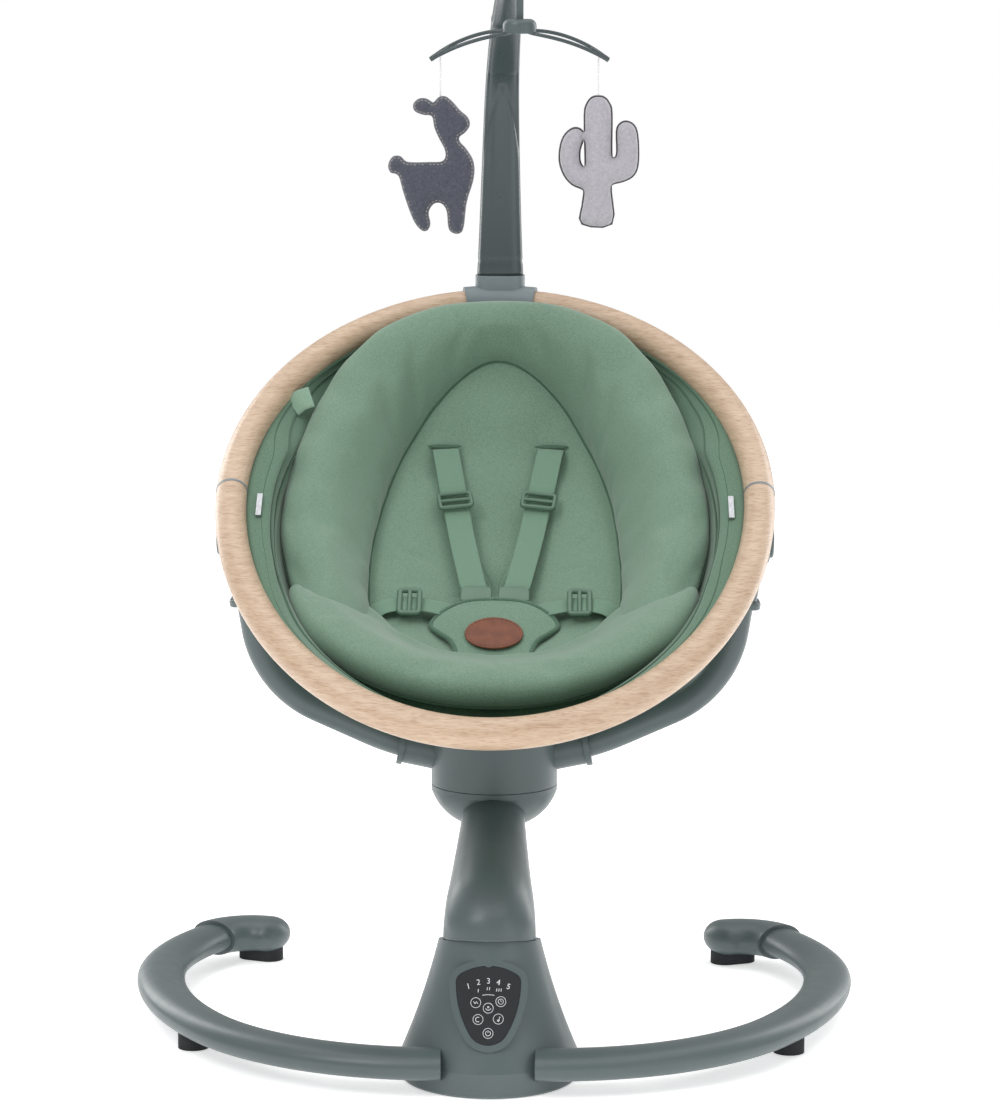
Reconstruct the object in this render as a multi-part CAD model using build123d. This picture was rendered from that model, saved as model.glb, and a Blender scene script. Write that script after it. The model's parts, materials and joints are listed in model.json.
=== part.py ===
from build123d import *
import os
from math import acos, cos, degrees, radians, sin, sqrt

# Baby swing: a floor base with two curved legs, a leaning swing axis, a slanting neck
# with a turntable hub, a two-armed yoke, and a wooden ring seat with a toy bar.
# Frame: millimetres, origin on the floor below the base housing, +X to the sitter's
# left, +Y towards the back of the swing, +Z up.

# ---- clearances --------------------------------------------------------------------
RUN = 0.05             # radial running clearance of a pin in its bore
GAP = 0.6              # between faces that move past each other
FIT = 0.3              # a lens, button or plate in its recess

# ---- base housing ------------------------------------------------------------------
BASE_R = 76.0          # foot of the housing
SKIRT_H = 21.0         # upright wall at the foot
TOP_R = 40.5           # mouth of the housing
TOP_Z = 120.0          # height of the swing axis where it leaves the housing
TOP_Y = -7.0
WALL = 3.0
SWING_LEAN = 9.8       # the swing axis leans back by this angle, degrees
FLARE_SAG = 3.0        # how hollow the flare of the housing is
COVER_T = 3.0
FOOT_PAD_R = 9.0
FOOT_PAD_T = 3.0
SCREW_R = 3.0

# ---- control panel -----------------------------------------------------------------
PANEL_W = 54.0
PANEL_H = 66.0
PANEL_Z = 75.0
PANEL_LIP = 6.0        # width of the raised lip round the panel
PANEL_T = 2.2
POD_DEPTH = 15.0
FLARE_ANGLE = 19.7     # slope of the housing's front, degrees from upright

# ---- legs --------------------------------------------------------------------------
LEG_W = 43.5
LEG_H = 26.5
LEG_Z = 24.5           # height of the tube's centre line
LEG_WALL = 1.8
LEG_START = (-40.0, -55.0)
LEG_HEADING = 182.0    # the leg sets off sideways, degrees from +X
LEG_ARCS = ((235.0, 59.0), (380.0, 28.5), (240.0, 36.0))   # radius, turn in degrees
CAP_ARC = (42.0, 80.0)
CAP_GROW = 3.4         # how much fuller the end cap is than its tube
FOOT_R = 13.75
FOOT_ARC = 1           # the round foot stands under this arc of the leg,
FOOT_SHARE = 0.16      # this far along it
CAP_PAD_L = 44.0
CAP_PAD_W = 26.0

# ---- swing shaft and drive ---------------------------------------------------------
SHAFT_R = 6.0
SHAFT_LEN = 84.0
BEARING_R = SHAFT_R + 5.0
BEARING_T = 7.0
TOWER_R = BEARING_R + 5.0
TOWER_LEN = 76.0
LEVER_L = 40.0
MAGNET_R = 9.0
COIL_R = 14.0

# ---- neck and hub ------------------------------------------------------------------
HUB_Y = 215.0
HUB_SEAM_Z = TOP_Z + 90.0
HUB_R = 57.0
BOWL_DEPTH = 38.0
HUB_RING_H = 20.0
HUB_TOP_H = 33.0
NECK_END_W = 56.0
NECK_END_H = 42.0
PIN_R = 8.0
BUSH_R = PIN_R + 4.0

# ---- ring --------------------------------------------------------------------------
RING_R = 13.75         # radius of the round wooden rail
RING_A = 236.0         # half width to the rail's centre line
RING_HEAD = 284.0      # from the widest point up to the head
RING_FOOT = 314.0      # from the widest point down to the foot
RING_WIDEST = 15.0
PIVOT_Y = HUB_Y + 1.0  # the recline hinge stands over the hub
PIVOT_Z = HUB_SEAM_Z + 224.0
SEAT_Y = PIVOT_Y - 18.0
SEAT_Z = PIVOT_Z + 33.0
SEAT_TILT = 32.57      # slope of the ring's plane, degrees
SPACER_T = 2.5
SPACER_PROUD = 0.4
COLLAR_HALF = 33.0
COLLAR_WALL = 3.6

# ---- yoke --------------------------------------------------------------------------
HINGE_IN = RING_A - 22.5       # inner face of the hinge housing
HINGE_OUT = HINGE_IN + 32.5
ARM_W = 30.0
ARM_T = 27.0
ARM_WALL = 2.0
ARM_ROUTE = ((38.0, HUB_SEAM_Z + 28.0), (92.0, HUB_SEAM_Z + 39.0),
             (HINGE_IN - 6.5, HUB_SEAM_Z + 90.0), (HINGE_IN + 6.5, PIVOT_Z - 53.0))
ARM_BENDS = (200.0, 95.0)
SOCKET_WALL = 5.0
SOCKET_X = 86.0
ARM_BUTTON_X = 70.0
ARM_BUTTON_R = 5.0
SLEEVE_W = 42.0
SLEEVE_T = 30.0
SLEEVE_L = 46.0
FLANGE_L = 7.0

# ---- recline hinge -----------------------------------------------------------------
HINGE_R = 22.0
HINGE_PIN_R = 5.0
BUTTON_R = 17.0
BUTTON_T = 11.0
BUTTON_TRAVEL = 4.0
BRACKET_T = 4.8
BRACKET_DROP = 10.5    # its head reaches the rail from below, under the fabric

# ---- seat soft goods ---------------------------------------------------------------
BOWL_A = RING_A - 31.0
BOWL_B = (RING_HEAD + RING_FOOT) / 2 - 30.0
BOWL_C = 140.0
CLOTH = 5.0
PAD_SIDE = 21.0
PAD_FLOOR = 26.0
RIM_T = 6.0
PAD_TOP = -8.0
PAD_SPLIT = -61.0
SLOT_U, SLOT_V = 50.0, 158.0
STRAP_LIFT = 8.0       # the straps leave the pad this far over its surface
PAD_IN_A = BOWL_A - CLOTH - PAD_SIDE
PAD_IN_B = BOWL_B - CLOTH - PAD_SIDE
PAD_IN_C = BOWL_C - CLOTH - PAD_FLOOR
WAIST_U = PAD_IN_A - 83.0
WEB_W = 25.0
WEB_T = 1.6

# ---- buckle ------------------------------------------------------------------------
BUCKLE_W, BUCKLE_L, BUCKLE_T = 73.0, 42.0, 15.0
BUCKLE_V = -58.0
BUCKLE_TOP = 29.0 - PAD_IN_C
RELEASE_R = 11.0
RELEASE_TRAVEL = 3.0
CROTCH_T = 7.0

# ---- toy bar and mobile ------------------------------------------------------------
BAR_Y = SEAT_Y + (RING_WIDEST + RING_HEAD) * cos(radians(SEAT_TILT)) + 5.0
BAR_Z = SEAT_Z + (RING_WIDEST + RING_HEAD) * sin(radians(SEAT_TILT)) + 27.0
BAR_W0, BAR_W1 = 44.0, 19.0
BAR_D0, BAR_D1 = 30.0, 14.0
BAR_SPIGOT_R = 8.0
BAR_REACH = 227.0
BAR_RISE = 283.0
BAR_TURN = 5.0         # the bar is stored turned a little to one side
STEM_R = 3.5
MOBILE_Z = BAR_Z + 227.0       # underside of the mobile's hub
MOBILE_HUB_R = 15.0
MOBILE_HUB_H = 13.0
TIP_X = 70.0
TIP_DROP = 19.0
MOBILE_T = 3.6
STRING_R = 0.7
STRING_L = 35.0
TOY_T = 20.0


# ---- small helpers -----------------------------------------------------------------
def save(name, *solids):
    """Write one named piece, or a group of equal pieces, to its own file."""
    shape = solids[0] if len(solids) == 1 else Compound(children=list(solids))
    shape.label = name
    export_step(shape, f"parts/{name}.step")


def rod(start, end, radius):
    """A round rod from one point to another."""
    a = Vector(*start)
    b = Vector(*end)
    return extrude(Plane(origin=a, z_dir=b - a) * Circle(radius), (b - a).length)


def flip(shape):
    """The same piece on the other side of the swing."""
    return mirror(shape, about=Plane.YZ)


def ellipsoid(plane, a, b, c):
    """An ellipsoid centred on a plane, with its three half sizes along that plane's axes."""
    return plane.location * scale(Sphere(1.0), by=(a, b, c))


def oval(plane, half_w, half_h):
    """An oval face that starts at its widest point, so that ovals loft without a twist."""
    points = [(half_w * cos(radians(a)), half_h * sin(radians(a))) for a in range(0, 360, 30)]
    return plane * make_face(Spline(*points, periodic=True))


def half(shape, plane):
    """What is left of a shape below a plane."""
    return split(shape, bisect_by=plane, keep=Keep.BOTTOM)


def swept(path, section, x_dir):
    """A section carried along a path from its start."""
    return sweep(Plane(origin=path @ 0, x_dir=x_dir, z_dir=path % 0) * section, path=path)


SWING = Plane(origin=(0, TOP_Y, TOP_Z), x_dir=(1, 0, 0),
              z_dir=(0, sin(radians(SWING_LEAN)), cos(radians(SWING_LEAN))))
SEAT = Plane(origin=(0, SEAT_Y, SEAT_Z), x_dir=(1, 0, 0),
             z_dir=(0, -sin(radians(SEAT_TILT)), cos(radians(SEAT_TILT))))


# ---- base --------------------------------------------------------------------------
def housing_solid(shrink, top_drop):
    """The housing's outer form, drawn in by a wall and cut along the leaning seam."""
    foot = BASE_R - shrink
    mouth = TOP_R - shrink
    high = TOP_Z + 12
    middle = ((foot + mouth) / 2 - FLARE_SAG, (SKIRT_H + high) / 2)
    low = -3.0 if shrink else 0.0
    outline = Polyline((0, high), (0, low), (foot - 2, low), (foot, low + 2), (foot, SKIRT_H))
    outline += ThreePointArc((foot, SKIRT_H), middle, (mouth, high))
    outline += Line((mouth, high), (0, high))
    body = revolve(Plane.XZ * make_face(outline), Axis.Z)
    return half(body, SWING.offset(-top_drop))


def leg_lines():
    """The leg's centre line and the end cap's, as smooth arcs that follow on."""
    point = Vector(LEG_START[0], LEG_START[1], LEG_Z)
    heading = LEG_HEADING
    arcs = []
    for radius, turn in (*LEG_ARCS, CAP_ARC):
        # the leg keeps turning the same way, clockwise from above
        centre = point - Vector(0, radius, 0).rotate(Axis.Z, heading)
        middle = (point - centre).rotate(Axis.Z, -turn / 2) + centre
        end = (point - centre).rotate(Axis.Z, -turn) + centre
        arcs.append(ThreePointArc(point, middle, end))
        point = end
        heading -= turn
    return Wire(arcs[:-1]), Wire(arcs[-1:]), arcs


def panel_face(grow):
    """The panel's shield outline: wide rounded top, sides drawn in, round foot."""
    w = PANEL_W / 2
    h = PANEL_H / 2
    outline = ThreePointArc((-0.82 * w, 0.82 * h), (0, h), (0.82 * w, 0.82 * h))
    outline += ThreePointArc((0.82 * w, 0.82 * h), (0.96 * w, 0.72 * h), (w, 0.54 * h))
    outline += ThreePointArc((w, 0.54 * h), (0.85 * w, -0.22 * h), (0.52 * w, -0.8 * h))
    outline += ThreePointArc((0.52 * w, -0.8 * h), (0, -h), (-0.52 * w, -0.8 * h))
    outline += ThreePointArc((-0.52 * w, -0.8 * h), (-0.85 * w, -0.22 * h), (-w, 0.54 * h))
    outline += ThreePointArc((-w, 0.54 * h), (-0.96 * w, 0.72 * h), (-0.82 * w, 0.82 * h))
    face = make_face(outline)
    return offset(face, grow) if grow else face


def make_base():
    lean = radians(FLARE_ANGLE)
    flare = (TOP_Z - PANEL_Z) / (TOP_Z - SKIRT_H)
    front = TOP_R + (BASE_R - TOP_R) * flare - 1.0
    panel = Plane(origin=(0, -front, PANEL_Z), x_dir=(1, 0, 0),
                  z_dir=(0, -cos(lean), sin(lean)))
    line, cap_line, arcs = leg_lines()
    leg_out = swept(line, Ellipse(LEG_W / 2, LEG_H / 2), (0, 1, 0))
    leg_in = swept(line, Ellipse(LEG_W / 2 - LEG_WALL, LEG_H / 2 - LEG_WALL), (0, 1, 0))
    legs = (leg_out, flip(leg_out))

    skin = housing_solid(0, 0)
    pod = extrude(panel.offset(-POD_DEPTH) * panel_face(PANEL_LIP), POD_DEPTH + 1.2)
    hollow = housing_solid(WALL, WALL + 1)
    pocket = extrude(panel.offset(-POD_DEPTH) * panel_face(-PANEL_LIP), POD_DEPTH)
    recess = extrude(panel.offset(-PANEL_T) * panel_face(FIT), PANEL_T + 2)
    mouth = rod(SWING.from_local_coords((0, 0, -20)), SWING.from_local_coords((0, 0, 5)),
                TOWER_R - 2)
    housing = (skin - hollow) + (pod & half(pod, SWING.offset(-2)))
    housing = housing - pocket - recess - mouth
    for leg in legs:
        housing -= leg
    inlet_y = BASE_R
    inlet = Pos(0, inlet_y - 8, 14) * Box(14, 18, 10)
    housing -= inlet

    cover = Pos(0, 0, FOOT_PAD_T - 1) * Cylinder(BASE_R - WALL - FIT, COVER_T,
                                                 align=(Align.CENTER, Align.CENTER, Align.MIN))
    screws = []
    pads = []
    for angle in (40, 140, 220, 320):
        spot = Rotation(0, 0, angle) * Pos(BASE_R - 20, 0, 0)
        pads.append(spot * Cylinder(FOOT_PAD_R, FOOT_PAD_T - 1,
                                    align=(Align.CENTER, Align.CENTER, Align.MIN)))
        spot = Rotation(0, 0, angle + 45) * Pos(BASE_R - 24, 0, FOOT_PAD_T - 1.5)
        screw = spot * Cylinder(SCREW_R, COVER_T + 0.5,
                                align=(Align.CENTER, Align.CENTER, Align.MIN))
        cover -= screw
        screws.append(screw)

    save("base_housing", housing)
    save("base_cover", cover)
    save("base_pads", *pads)
    save("base_screws", *screws)
    save("power_inlet", inlet - Pos(0, inlet_y + 1, 14) * Rotation(90, 0, 0) * Cylinder(3, 16))
    save("control_panel", extrude(panel.offset(-PANEL_T) * panel_face(0), PANEL_T + 0.6))
    save("control_board", extrude(panel.offset(-PANEL_T - 5) * panel_face(-PANEL_LIP - 2), 1.6))
    save("speaker", Pos(34, 30, COVER_T + 2.4) * Cylinder(
        17, 9, align=(Align.CENTER, Align.CENTER, Align.MIN)))

    cap_out = swept(cap_line, Ellipse(LEG_W / 2 + CAP_GROW, LEG_H / 2 + CAP_GROW), (0, 1, 0))
    end = Plane(origin=cap_line @ 1, x_dir=(0, 0, 1), z_dir=cap_line % 1)
    dome = ellipsoid(end, LEG_H / 2 + CAP_GROW, LEG_W / 2 + CAP_GROW, 20.0)
    cap = cap_out + dome
    joint = end.origin
    pad_plane = Plane(origin=(joint.X, joint.Y, 0), x_dir=(end.z_dir.X, end.z_dir.Y, 0))
    cap_pad = extrude(pad_plane * Pos(-8, 0, 0) * SlotOverall(CAP_PAD_L, CAP_PAD_W), LEG_Z - 6)
    cap_pad = cap_pad - cap
    foot_at = arcs[FOOT_ARC] @ FOOT_SHARE
    foot = Pos(foot_at.X, foot_at.Y, 0) * Cylinder(
        FOOT_R, LEG_Z - 4, align=(Align.CENTER, Align.CENTER, Align.MIN)) - leg_out
    leg = leg_out - leg_in
    for side, turn in (("left", lambda shape: shape), ("right", flip)):
        save(f"leg_{side}", turn(leg))
        save(f"leg_cap_{side}", turn(cap))
    save("cap_pads", cap_pad, flip(cap_pad))
    save("leg_feet", foot, flip(foot))


# ---- bearings, shaft and drive -----------------------------------------------------
def along(start, length, radius):
    """A rod on the swing axis, from a distance above the seam."""
    return SWING.offset(start).location * Cylinder(
        radius, length, align=(Align.CENTER, Align.CENTER, Align.MIN))


def make_drive():
    deck = -(WALL + 1)
    tower = along(deck - TOWER_LEN, TOWER_LEN, TOWER_R)
    bore = along(deck - TOWER_LEN - 1, TOWER_LEN + 2, BEARING_R - 3)
    seats = (deck - BEARING_T, deck - TOWER_LEN)
    bearings = []
    for seat in seats:
        ring = along(seat, BEARING_T, BEARING_R)
        tower -= ring
        bearings.append(ring - along(seat - 1, BEARING_T + 2, SHAFT_R + RUN))
    tower -= bore
    shaft = along(GAP, 5, TOP_R - 6) + along(-SHAFT_LEN, SHAFT_LEN + GAP, SHAFT_R)
    lever_z = -SHAFT_LEN - 5
    lever = along(lever_z, 5, 10) + SWING.offset(lever_z + 2.5).location * Pos(
        0, LEVER_L / 2, 0) * Box(12, LEVER_L, 5)
    magnet = SWING.offset(lever_z - 3).location * Pos(0, LEVER_L, 0) * Cylinder(
        MAGNET_R, 8, align=(Align.CENTER, Align.CENTER, Align.MIN))
    coil = Pos(0, LEVER_L - 22, COVER_T + 2.2) * (
        Cylinder(COIL_R, 5, align=(Align.CENTER, Align.CENTER, Align.MIN))
        - Cylinder(COIL_R - 7, 5, align=(Align.CENTER, Align.CENTER, Align.MIN)))
    save("bearing_tower", tower)
    save("swing_bearings", *bearings)
    save("swing_shaft", shaft)
    save("drive_magnet", lever + magnet)
    save("drive_coil", coil)


# ---- neck and hub ------------------------------------------------------------------
def neck_solid(shrink):
    """The neck: round at the base, leaning back into an oval at the hub."""
    drop = HUB_SEAM_Z - TOP_Z
    back = HUB_Y - TOP_Y
    stations = (            # share of the way back and up, lean, half width, half height
        (0.02, 0.16, 20.0, TOP_R - 1.5, TOP_R - 1.6),
        (0.11, 0.30, 38.0, TOP_R - 3.0, TOP_R - 3.5),
        (0.27, 0.43, 53.0, TOP_R - 6.0, TOP_R - 8.0),
        (0.53, 0.60, 66.0, NECK_END_W / 2 + 3, NECK_END_H / 2 + 5),
        (0.82, 0.75, 71.0, NECK_END_W / 2, NECK_END_H / 2),
    )
    sections = [oval(SWING.offset(GAP), TOP_R - 1.0 - shrink, TOP_R - 1.0 - shrink)]
    for along_y, along_z, lean, half_w, half_h in stations:
        plane = Plane(origin=(0, TOP_Y + back * along_y, TOP_Z + drop * along_z), x_dir=(1, 0, 0),
                      z_dir=(0, sin(radians(lean)), cos(radians(lean))))
        sections.append(oval(plane, half_w - shrink, half_h - shrink))
    spans = [loft(pair) for pair in zip(sections, sections[1:])]
    return spans[0].fuse(*spans[1:])


def bowl_solid(shrink):
    """The lower half of the hub, a shallow bowl."""
    a = HUB_R - shrink
    low = HUB_SEAM_Z - BOWL_DEPTH + shrink
    rim = HUB_SEAM_Z - 5
    outline = Line((0, HUB_SEAM_Z), (0, low))
    outline += ThreePointArc((0, low), (0.71 * a, rim - 0.71 * (rim - low)), (a, rim))
    outline += Polyline((a, rim), (a, HUB_SEAM_Z), (0, HUB_SEAM_Z))
    return Pos(0, HUB_Y, 0) * revolve(Plane.XZ * make_face(outline), Axis.Z)


def tube(radius, inner, z0, z1):
    """An upright ring on the hub's axis."""
    ring = Pos(0, HUB_Y, z0) * Cylinder(radius, z1 - z0,
                                        align=(Align.CENTER, Align.CENTER, Align.MIN))
    if inner:
        ring -= Pos(0, HUB_Y, z0 - 1) * Cylinder(inner, z1 - z0 + 2,
                                                 align=(Align.CENTER, Align.CENTER, Align.MIN))
    return ring


def make_hub():
    floor = HUB_SEAM_Z - BOWL_DEPTH
    bowl = bowl_solid(0) - bowl_solid(WALL) + (tube(BUSH_R + 4, 0, floor + 1, HUB_SEAM_Z - 6)
                                               & bowl_solid(0))
    bush = tube(BUSH_R, PIN_R + RUN, floor + 8, HUB_SEAM_Z - 4)
    bowl -= tube(BUSH_R, 0, floor + 8, HUB_SEAM_Z)
    neck = neck_solid(0) - neck_solid(WALL) - bowl_solid(0)
    neck = neck.solids().sort_by(SortBy.VOLUME)[-1] - along(GAP, 5, TOP_R - 6)
    save("neck", neck)
    save("hub_bowl", bowl)
    save("turntable_bush", bush)

    seam = HUB_SEAM_Z + GAP
    mid = seam + HUB_RING_H
    top = mid + HUB_TOP_H
    plate = tube(HUB_R - WALL, 0, seam, seam + 4) + tube(PIN_R, 0, floor + 10, seam)
    ring = tube(HUB_R, HUB_R - WALL, seam, mid)
    shell = tube(HUB_R, 0, mid, top)
    shell = fillet(shell.edges().group_by(Axis.Z)[-1], 12)

    _, arm_out, arm_in = arm_solids()
    start = Plane(origin=(ARM_ROUTE[0][0] + 6, HUB_Y, arm_height(ARM_ROUTE[0][0] + 6)),
                  x_dir=(0, 1, 0), z_dir=arm_slope())
    reach = SOCKET_X - ARM_ROUTE[0][0] - 6
    socket = extrude(start * Ellipse(ARM_W / 2 + SOCKET_WALL, ARM_T / 2 + SOCKET_WALL), reach)
    lip = extrude(start.offset(reach - 5) * Ellipse(ARM_W / 2 + SOCKET_WALL + 2,
                                                    ARM_T / 2 + SOCKET_WALL + 2), 5)
    socket = socket + lip
    button_at = Plane(origin=(ARM_BUTTON_X, HUB_Y, arm_height(ARM_BUTTON_X)),
                      x_dir=(0, 1, 0), z_dir=arm_slope().cross(Vector(0, -1, 0)))
    if button_at.z_dir.Z < 0:
        button_at = Plane(origin=button_at.origin, x_dir=(0, 1, 0), z_dir=-button_at.z_dir)
    hole = extrude(button_at * Circle(ARM_BUTTON_R + FIT), 40)
    rest = ARM_T / 2 + 2.5
    button = extrude(button_at.offset(rest) * Circle(ARM_BUTTON_R), SOCKET_WALL + 0.6)
    shell = shell + socket + flip(socket)
    ring = ring - socket - flip(socket)
    hollow = tube(HUB_R - WALL, 0, seam, top - WALL)
    shell -= fillet(hollow.edges().group_by(Axis.Z)[-1], 12 - WALL)
    for turn in (lambda shape: shape, flip):
        shell = shell - turn(arm_out) - turn(hole)
    save("hub_shell", shell)
    save("hub_ring", ring)
    save("turntable_pin", plate)
    for side, turn in (("right", lambda shape: shape), ("left", flip)):
        save(f"yoke_arm_{side}", turn(arm_out - arm_in))
        save(f"arm_button_{side}", turn(button))


# ---- yoke arms, sleeves and hinges -------------------------------------------------
def arm_slope():
    (x0, z0), (x1, z1) = ARM_ROUTE[:2]
    return Vector(x1 - x0, 0, z1 - z0).normalized()


def arm_height(x):
    """Height of the arm's centre line over its first run."""
    slope = arm_slope()
    return ARM_ROUTE[0][1] + (x - ARM_ROUTE[0][0]) * slope.Z / slope.X


def arm_solids():
    points = [(x, HUB_Y, z) for x, z in ARM_ROUTE]
    line = FilletPolyline(*points, radius=list(ARM_BENDS))
    outer = swept(line, Ellipse(ARM_W / 2, ARM_T / 2), (0, 1, 0))
    inner = swept(line, Ellipse(ARM_W / 2 - ARM_WALL, ARM_T / 2 - ARM_WALL), (0, 1, 0))
    return line, outer, inner


def make_hinge():
    line, arm_out, _ = arm_solids()
    top = Plane(origin=line @ 1, x_dir=(0, 1, 0), z_dir=line % 1)
    drum = rod((HINGE_IN, PIVOT_Y, PIVOT_Z), (HINGE_OUT, PIVOT_Y, PIVOT_Z), HINGE_R)
    drum = fillet(drum.edges().group_by(Axis.X)[-1], 3)
    sleeve = extrude(top.offset(-FLANGE_L) * RectangleRounded(SLEEVE_W, SLEEVE_T, 12), SLEEVE_L)
    flange = extrude(top.offset(-FLANGE_L) * RectangleRounded(SLEEVE_W + 8, SLEEVE_T + 8, 15),
                     FLANGE_L)
    flange = fillet(flange.edges().group_by(SortBy.LENGTH)[-1], 2)
    bracket_room = rod((HINGE_IN - 40, PIVOT_Y, PIVOT_Z), (HINGE_IN, PIVOT_Y, PIVOT_Z),
                       HINGE_R)
    sleeve = sleeve + flange - drum - arm_out - bracket_room
    recess = rod((HINGE_OUT - BUTTON_T - 1, PIVOT_Y, PIVOT_Z), (HINGE_OUT + 1, PIVOT_Y, PIVOT_Z),
                 BUTTON_R + FIT)
    pin_end = HINGE_OUT - BUTTON_T - 4
    pin = rod((HINGE_IN - BRACKET_T - GAP, PIVOT_Y, PIVOT_Z), (pin_end, PIVOT_Y, PIVOT_Z),
              HINGE_PIN_R)
    head_at = HINGE_IN - BRACKET_T - 2 * GAP
    pin += rod((head_at - 3, PIVOT_Y, PIVOT_Z), (head_at, PIVOT_Y, PIVOT_Z), HINGE_PIN_R + 3)
    pin += rod((head_at - 1, PIVOT_Y, PIVOT_Z), (head_at + GAP, PIVOT_Y, PIVOT_Z), HINGE_PIN_R)
    drum = drum - recess - rod((HINGE_IN - 1, PIVOT_Y, PIVOT_Z), (pin_end, PIVOT_Y, PIVOT_Z),
                               HINGE_PIN_R)
    button_in = HINGE_OUT + 3.5 - BUTTON_T
    button = rod((button_in, PIVOT_Y, PIVOT_Z), (button_in + BUTTON_T, PIVOT_Y, PIVOT_Z), BUTTON_R)
    button = fillet(button.edges().group_by(Axis.X)[-1], 2)
    for side, turn in (("right", lambda shape: shape), ("left", flip)):
        save(f"arm_sleeve_{side}", turn(sleeve))
        save(f"hinge_housing_{side}", turn(drum))
        save(f"recline_button_{side}", turn(button))
    save("hinge_pins", pin, flip(pin))


# ---- ring --------------------------------------------------------------------------
def ring_arc(start, end, lower):
    """A stretch of the ring's centre line, by angle about its widest point."""
    reach = RING_FOOT if lower else RING_HEAD
    return SEAT.location * EllipticalCenterArc((0, RING_WIDEST), RING_A, reach, start,
                                               arc_size=end - start)


def rail(start, end, lower, radius=RING_R):
    return swept(ring_arc(start, end, lower), Circle(radius), SEAT.z_dir)


def bracket_solid():
    """Steel side plate from the ring down to the hinge pin."""
    out = HINGE_IN - GAP
    plate = rod((out - BRACKET_T, PIVOT_Y, PIVOT_Z), (out, PIVOT_Y, PIVOT_Z), HINGE_R - 4)
    side = Plane(origin=(out - BRACKET_T, PIVOT_Y, PIVOT_Z), x_dir=SEAT.y_dir, z_dir=(1, 0, 0))
    lift = (Vector(0, SEAT_Y, SEAT_Z) - Vector(0, PIVOT_Y, PIVOT_Z)).dot(SEAT.z_dir)
    plate += extrude(side * Pos(0, lift / 2, 0) * Rectangle(30, lift), BRACKET_T)
    reach = RING_A - out
    head = side * Pos(0, lift - BRACKET_DROP, 0)
    plate += extrude(head * RectangleRounded(40, 8, 3.5), reach + BRACKET_T)
    hole = rod((out - BRACKET_T - 5, PIVOT_Y, PIVOT_Z), (out + 5, PIVOT_Y, PIVOT_Z),
               HINGE_PIN_R + RUN)
    return plate - hole


def make_ring():
    spacers = []
    for x in (-RING_A, RING_A):
        start = SEAT.from_local_coords((x, RING_WIDEST - SPACER_T / 2, 0))
        end = SEAT.from_local_coords((x, RING_WIDEST + SPACER_T / 2, 0))
        spacers.append(rod(start, end, RING_R + SPACER_PROUD))
    front = rail(180, 360, True)
    mouth = degrees(acos((BAR_SPIGOT_R + 4) / RING_A))
    right = rail(0, mouth, False)
    left = rail(180 - mouth, 180, False)
    full_front = front
    for spacer in spacers:
        front -= spacer
        right -= spacer
        left -= spacer
    brackets = [bracket_solid(), flip(bracket_solid())]
    brackets = [b - full_front - right - left - spacers[0] - spacers[1] for b in brackets]

    shoulder = degrees(acos(COLLAR_HALF / RING_A))
    collar = rail(shoulder, 180 - shoulder, False, RING_R + COLLAR_WALL)
    boss = Pos(0, BAR_Y, BAR_Z) * extrude(RectangleRounded(BAR_W0 + 3, BAR_D0 + 3, 13), -30)
    collar = collar + boss - right - left
    collar -= rod((0, BAR_Y, BAR_Z - 24), (0, BAR_Y, BAR_Z + 1), BAR_SPIGOT_R + RUN)
    save("front_rail", front)
    save("rail_right", right)
    save("rail_left", left)
    save("rail_spacers", *spacers)
    save("head_collar", collar)
    save("seat_brackets", *brackets)
    return full_front, right, left, collar, spacers, brackets


# ---- seat bowl, pads and harness ---------------------------------------------------
def make_seat(full_front, right, left, collar, spacers, brackets):
    outer = ellipsoid(SEAT, BOWL_A, BOWL_B, BOWL_C)
    inner = ellipsoid(SEAT, BOWL_A - CLOTH, BOWL_B - CLOTH, BOWL_C - CLOTH)
    pad_out = ellipsoid(SEAT, BOWL_A - CLOTH - FIT, BOWL_B - CLOTH - FIT, BOWL_C - CLOTH - FIT)
    pad_in = ellipsoid(SEAT, PAD_IN_A, PAD_IN_B, PAD_IN_C)
    shell = half(outer, SEAT.offset(-RIM_T)) - inner
    ring_low = EllipticalCenterArc((0, RING_WIDEST), RING_A, RING_FOOT, 180, arc_size=180)
    ring_high = EllipticalCenterArc((0, RING_WIDEST), RING_A, RING_HEAD, 0, arc_size=180)
    rim = extrude(SEAT.offset(-2 * RIM_T) * make_face(ring_low + ring_high), RIM_T)
    rim = rim - inner
    for solid in (full_front, right, left, collar, *spacers, *brackets):
        rim -= solid
    save("seat_rim", rim.solids().sort_by(SortBy.VOLUME)[-1] - shell)
    pad = half(pad_out - pad_in, SEAT.offset(PAD_TOP))
    across = Plane(origin=SEAT.from_local_coords((0, PAD_SPLIT, 0)), x_dir=(1, 0, 0),
                   z_dir=SEAT.y_dir)
    seat_pad = split(pad, bisect_by=across.offset(-FIT), keep=Keep.BOTTOM)
    back_pad = split(pad, bisect_by=across.offset(FIT), keep=Keep.TOP)
    save("seat_shell", shell)
    save("back_pad", back_pad)
    save("seat_pad", seat_pad)


def pad_depth(u, v):
    """Height of the pad's inside below the ring's plane."""
    return -PAD_IN_C * sqrt(1 - (u / PAD_IN_A) ** 2 - (v / PAD_IN_B) ** 2)


def strap(start, end, lift, width=WEB_W):
    """A flat strap between two points in the seat's frame, facing the sitter."""
    a = SEAT.from_local_coords(start)
    b = SEAT.from_local_coords(end)
    run = b - a
    up = (SEAT.z_dir - run.normalized() * run.normalized().dot(SEAT.z_dir)).normalized()
    plane = Plane(origin=a, x_dir=run.normalized(), z_dir=up)
    return plane, extrude(plane * Pos(run.length / 2, 0, lift) * Rectangle(run.length, width),
                          WEB_T)


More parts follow.
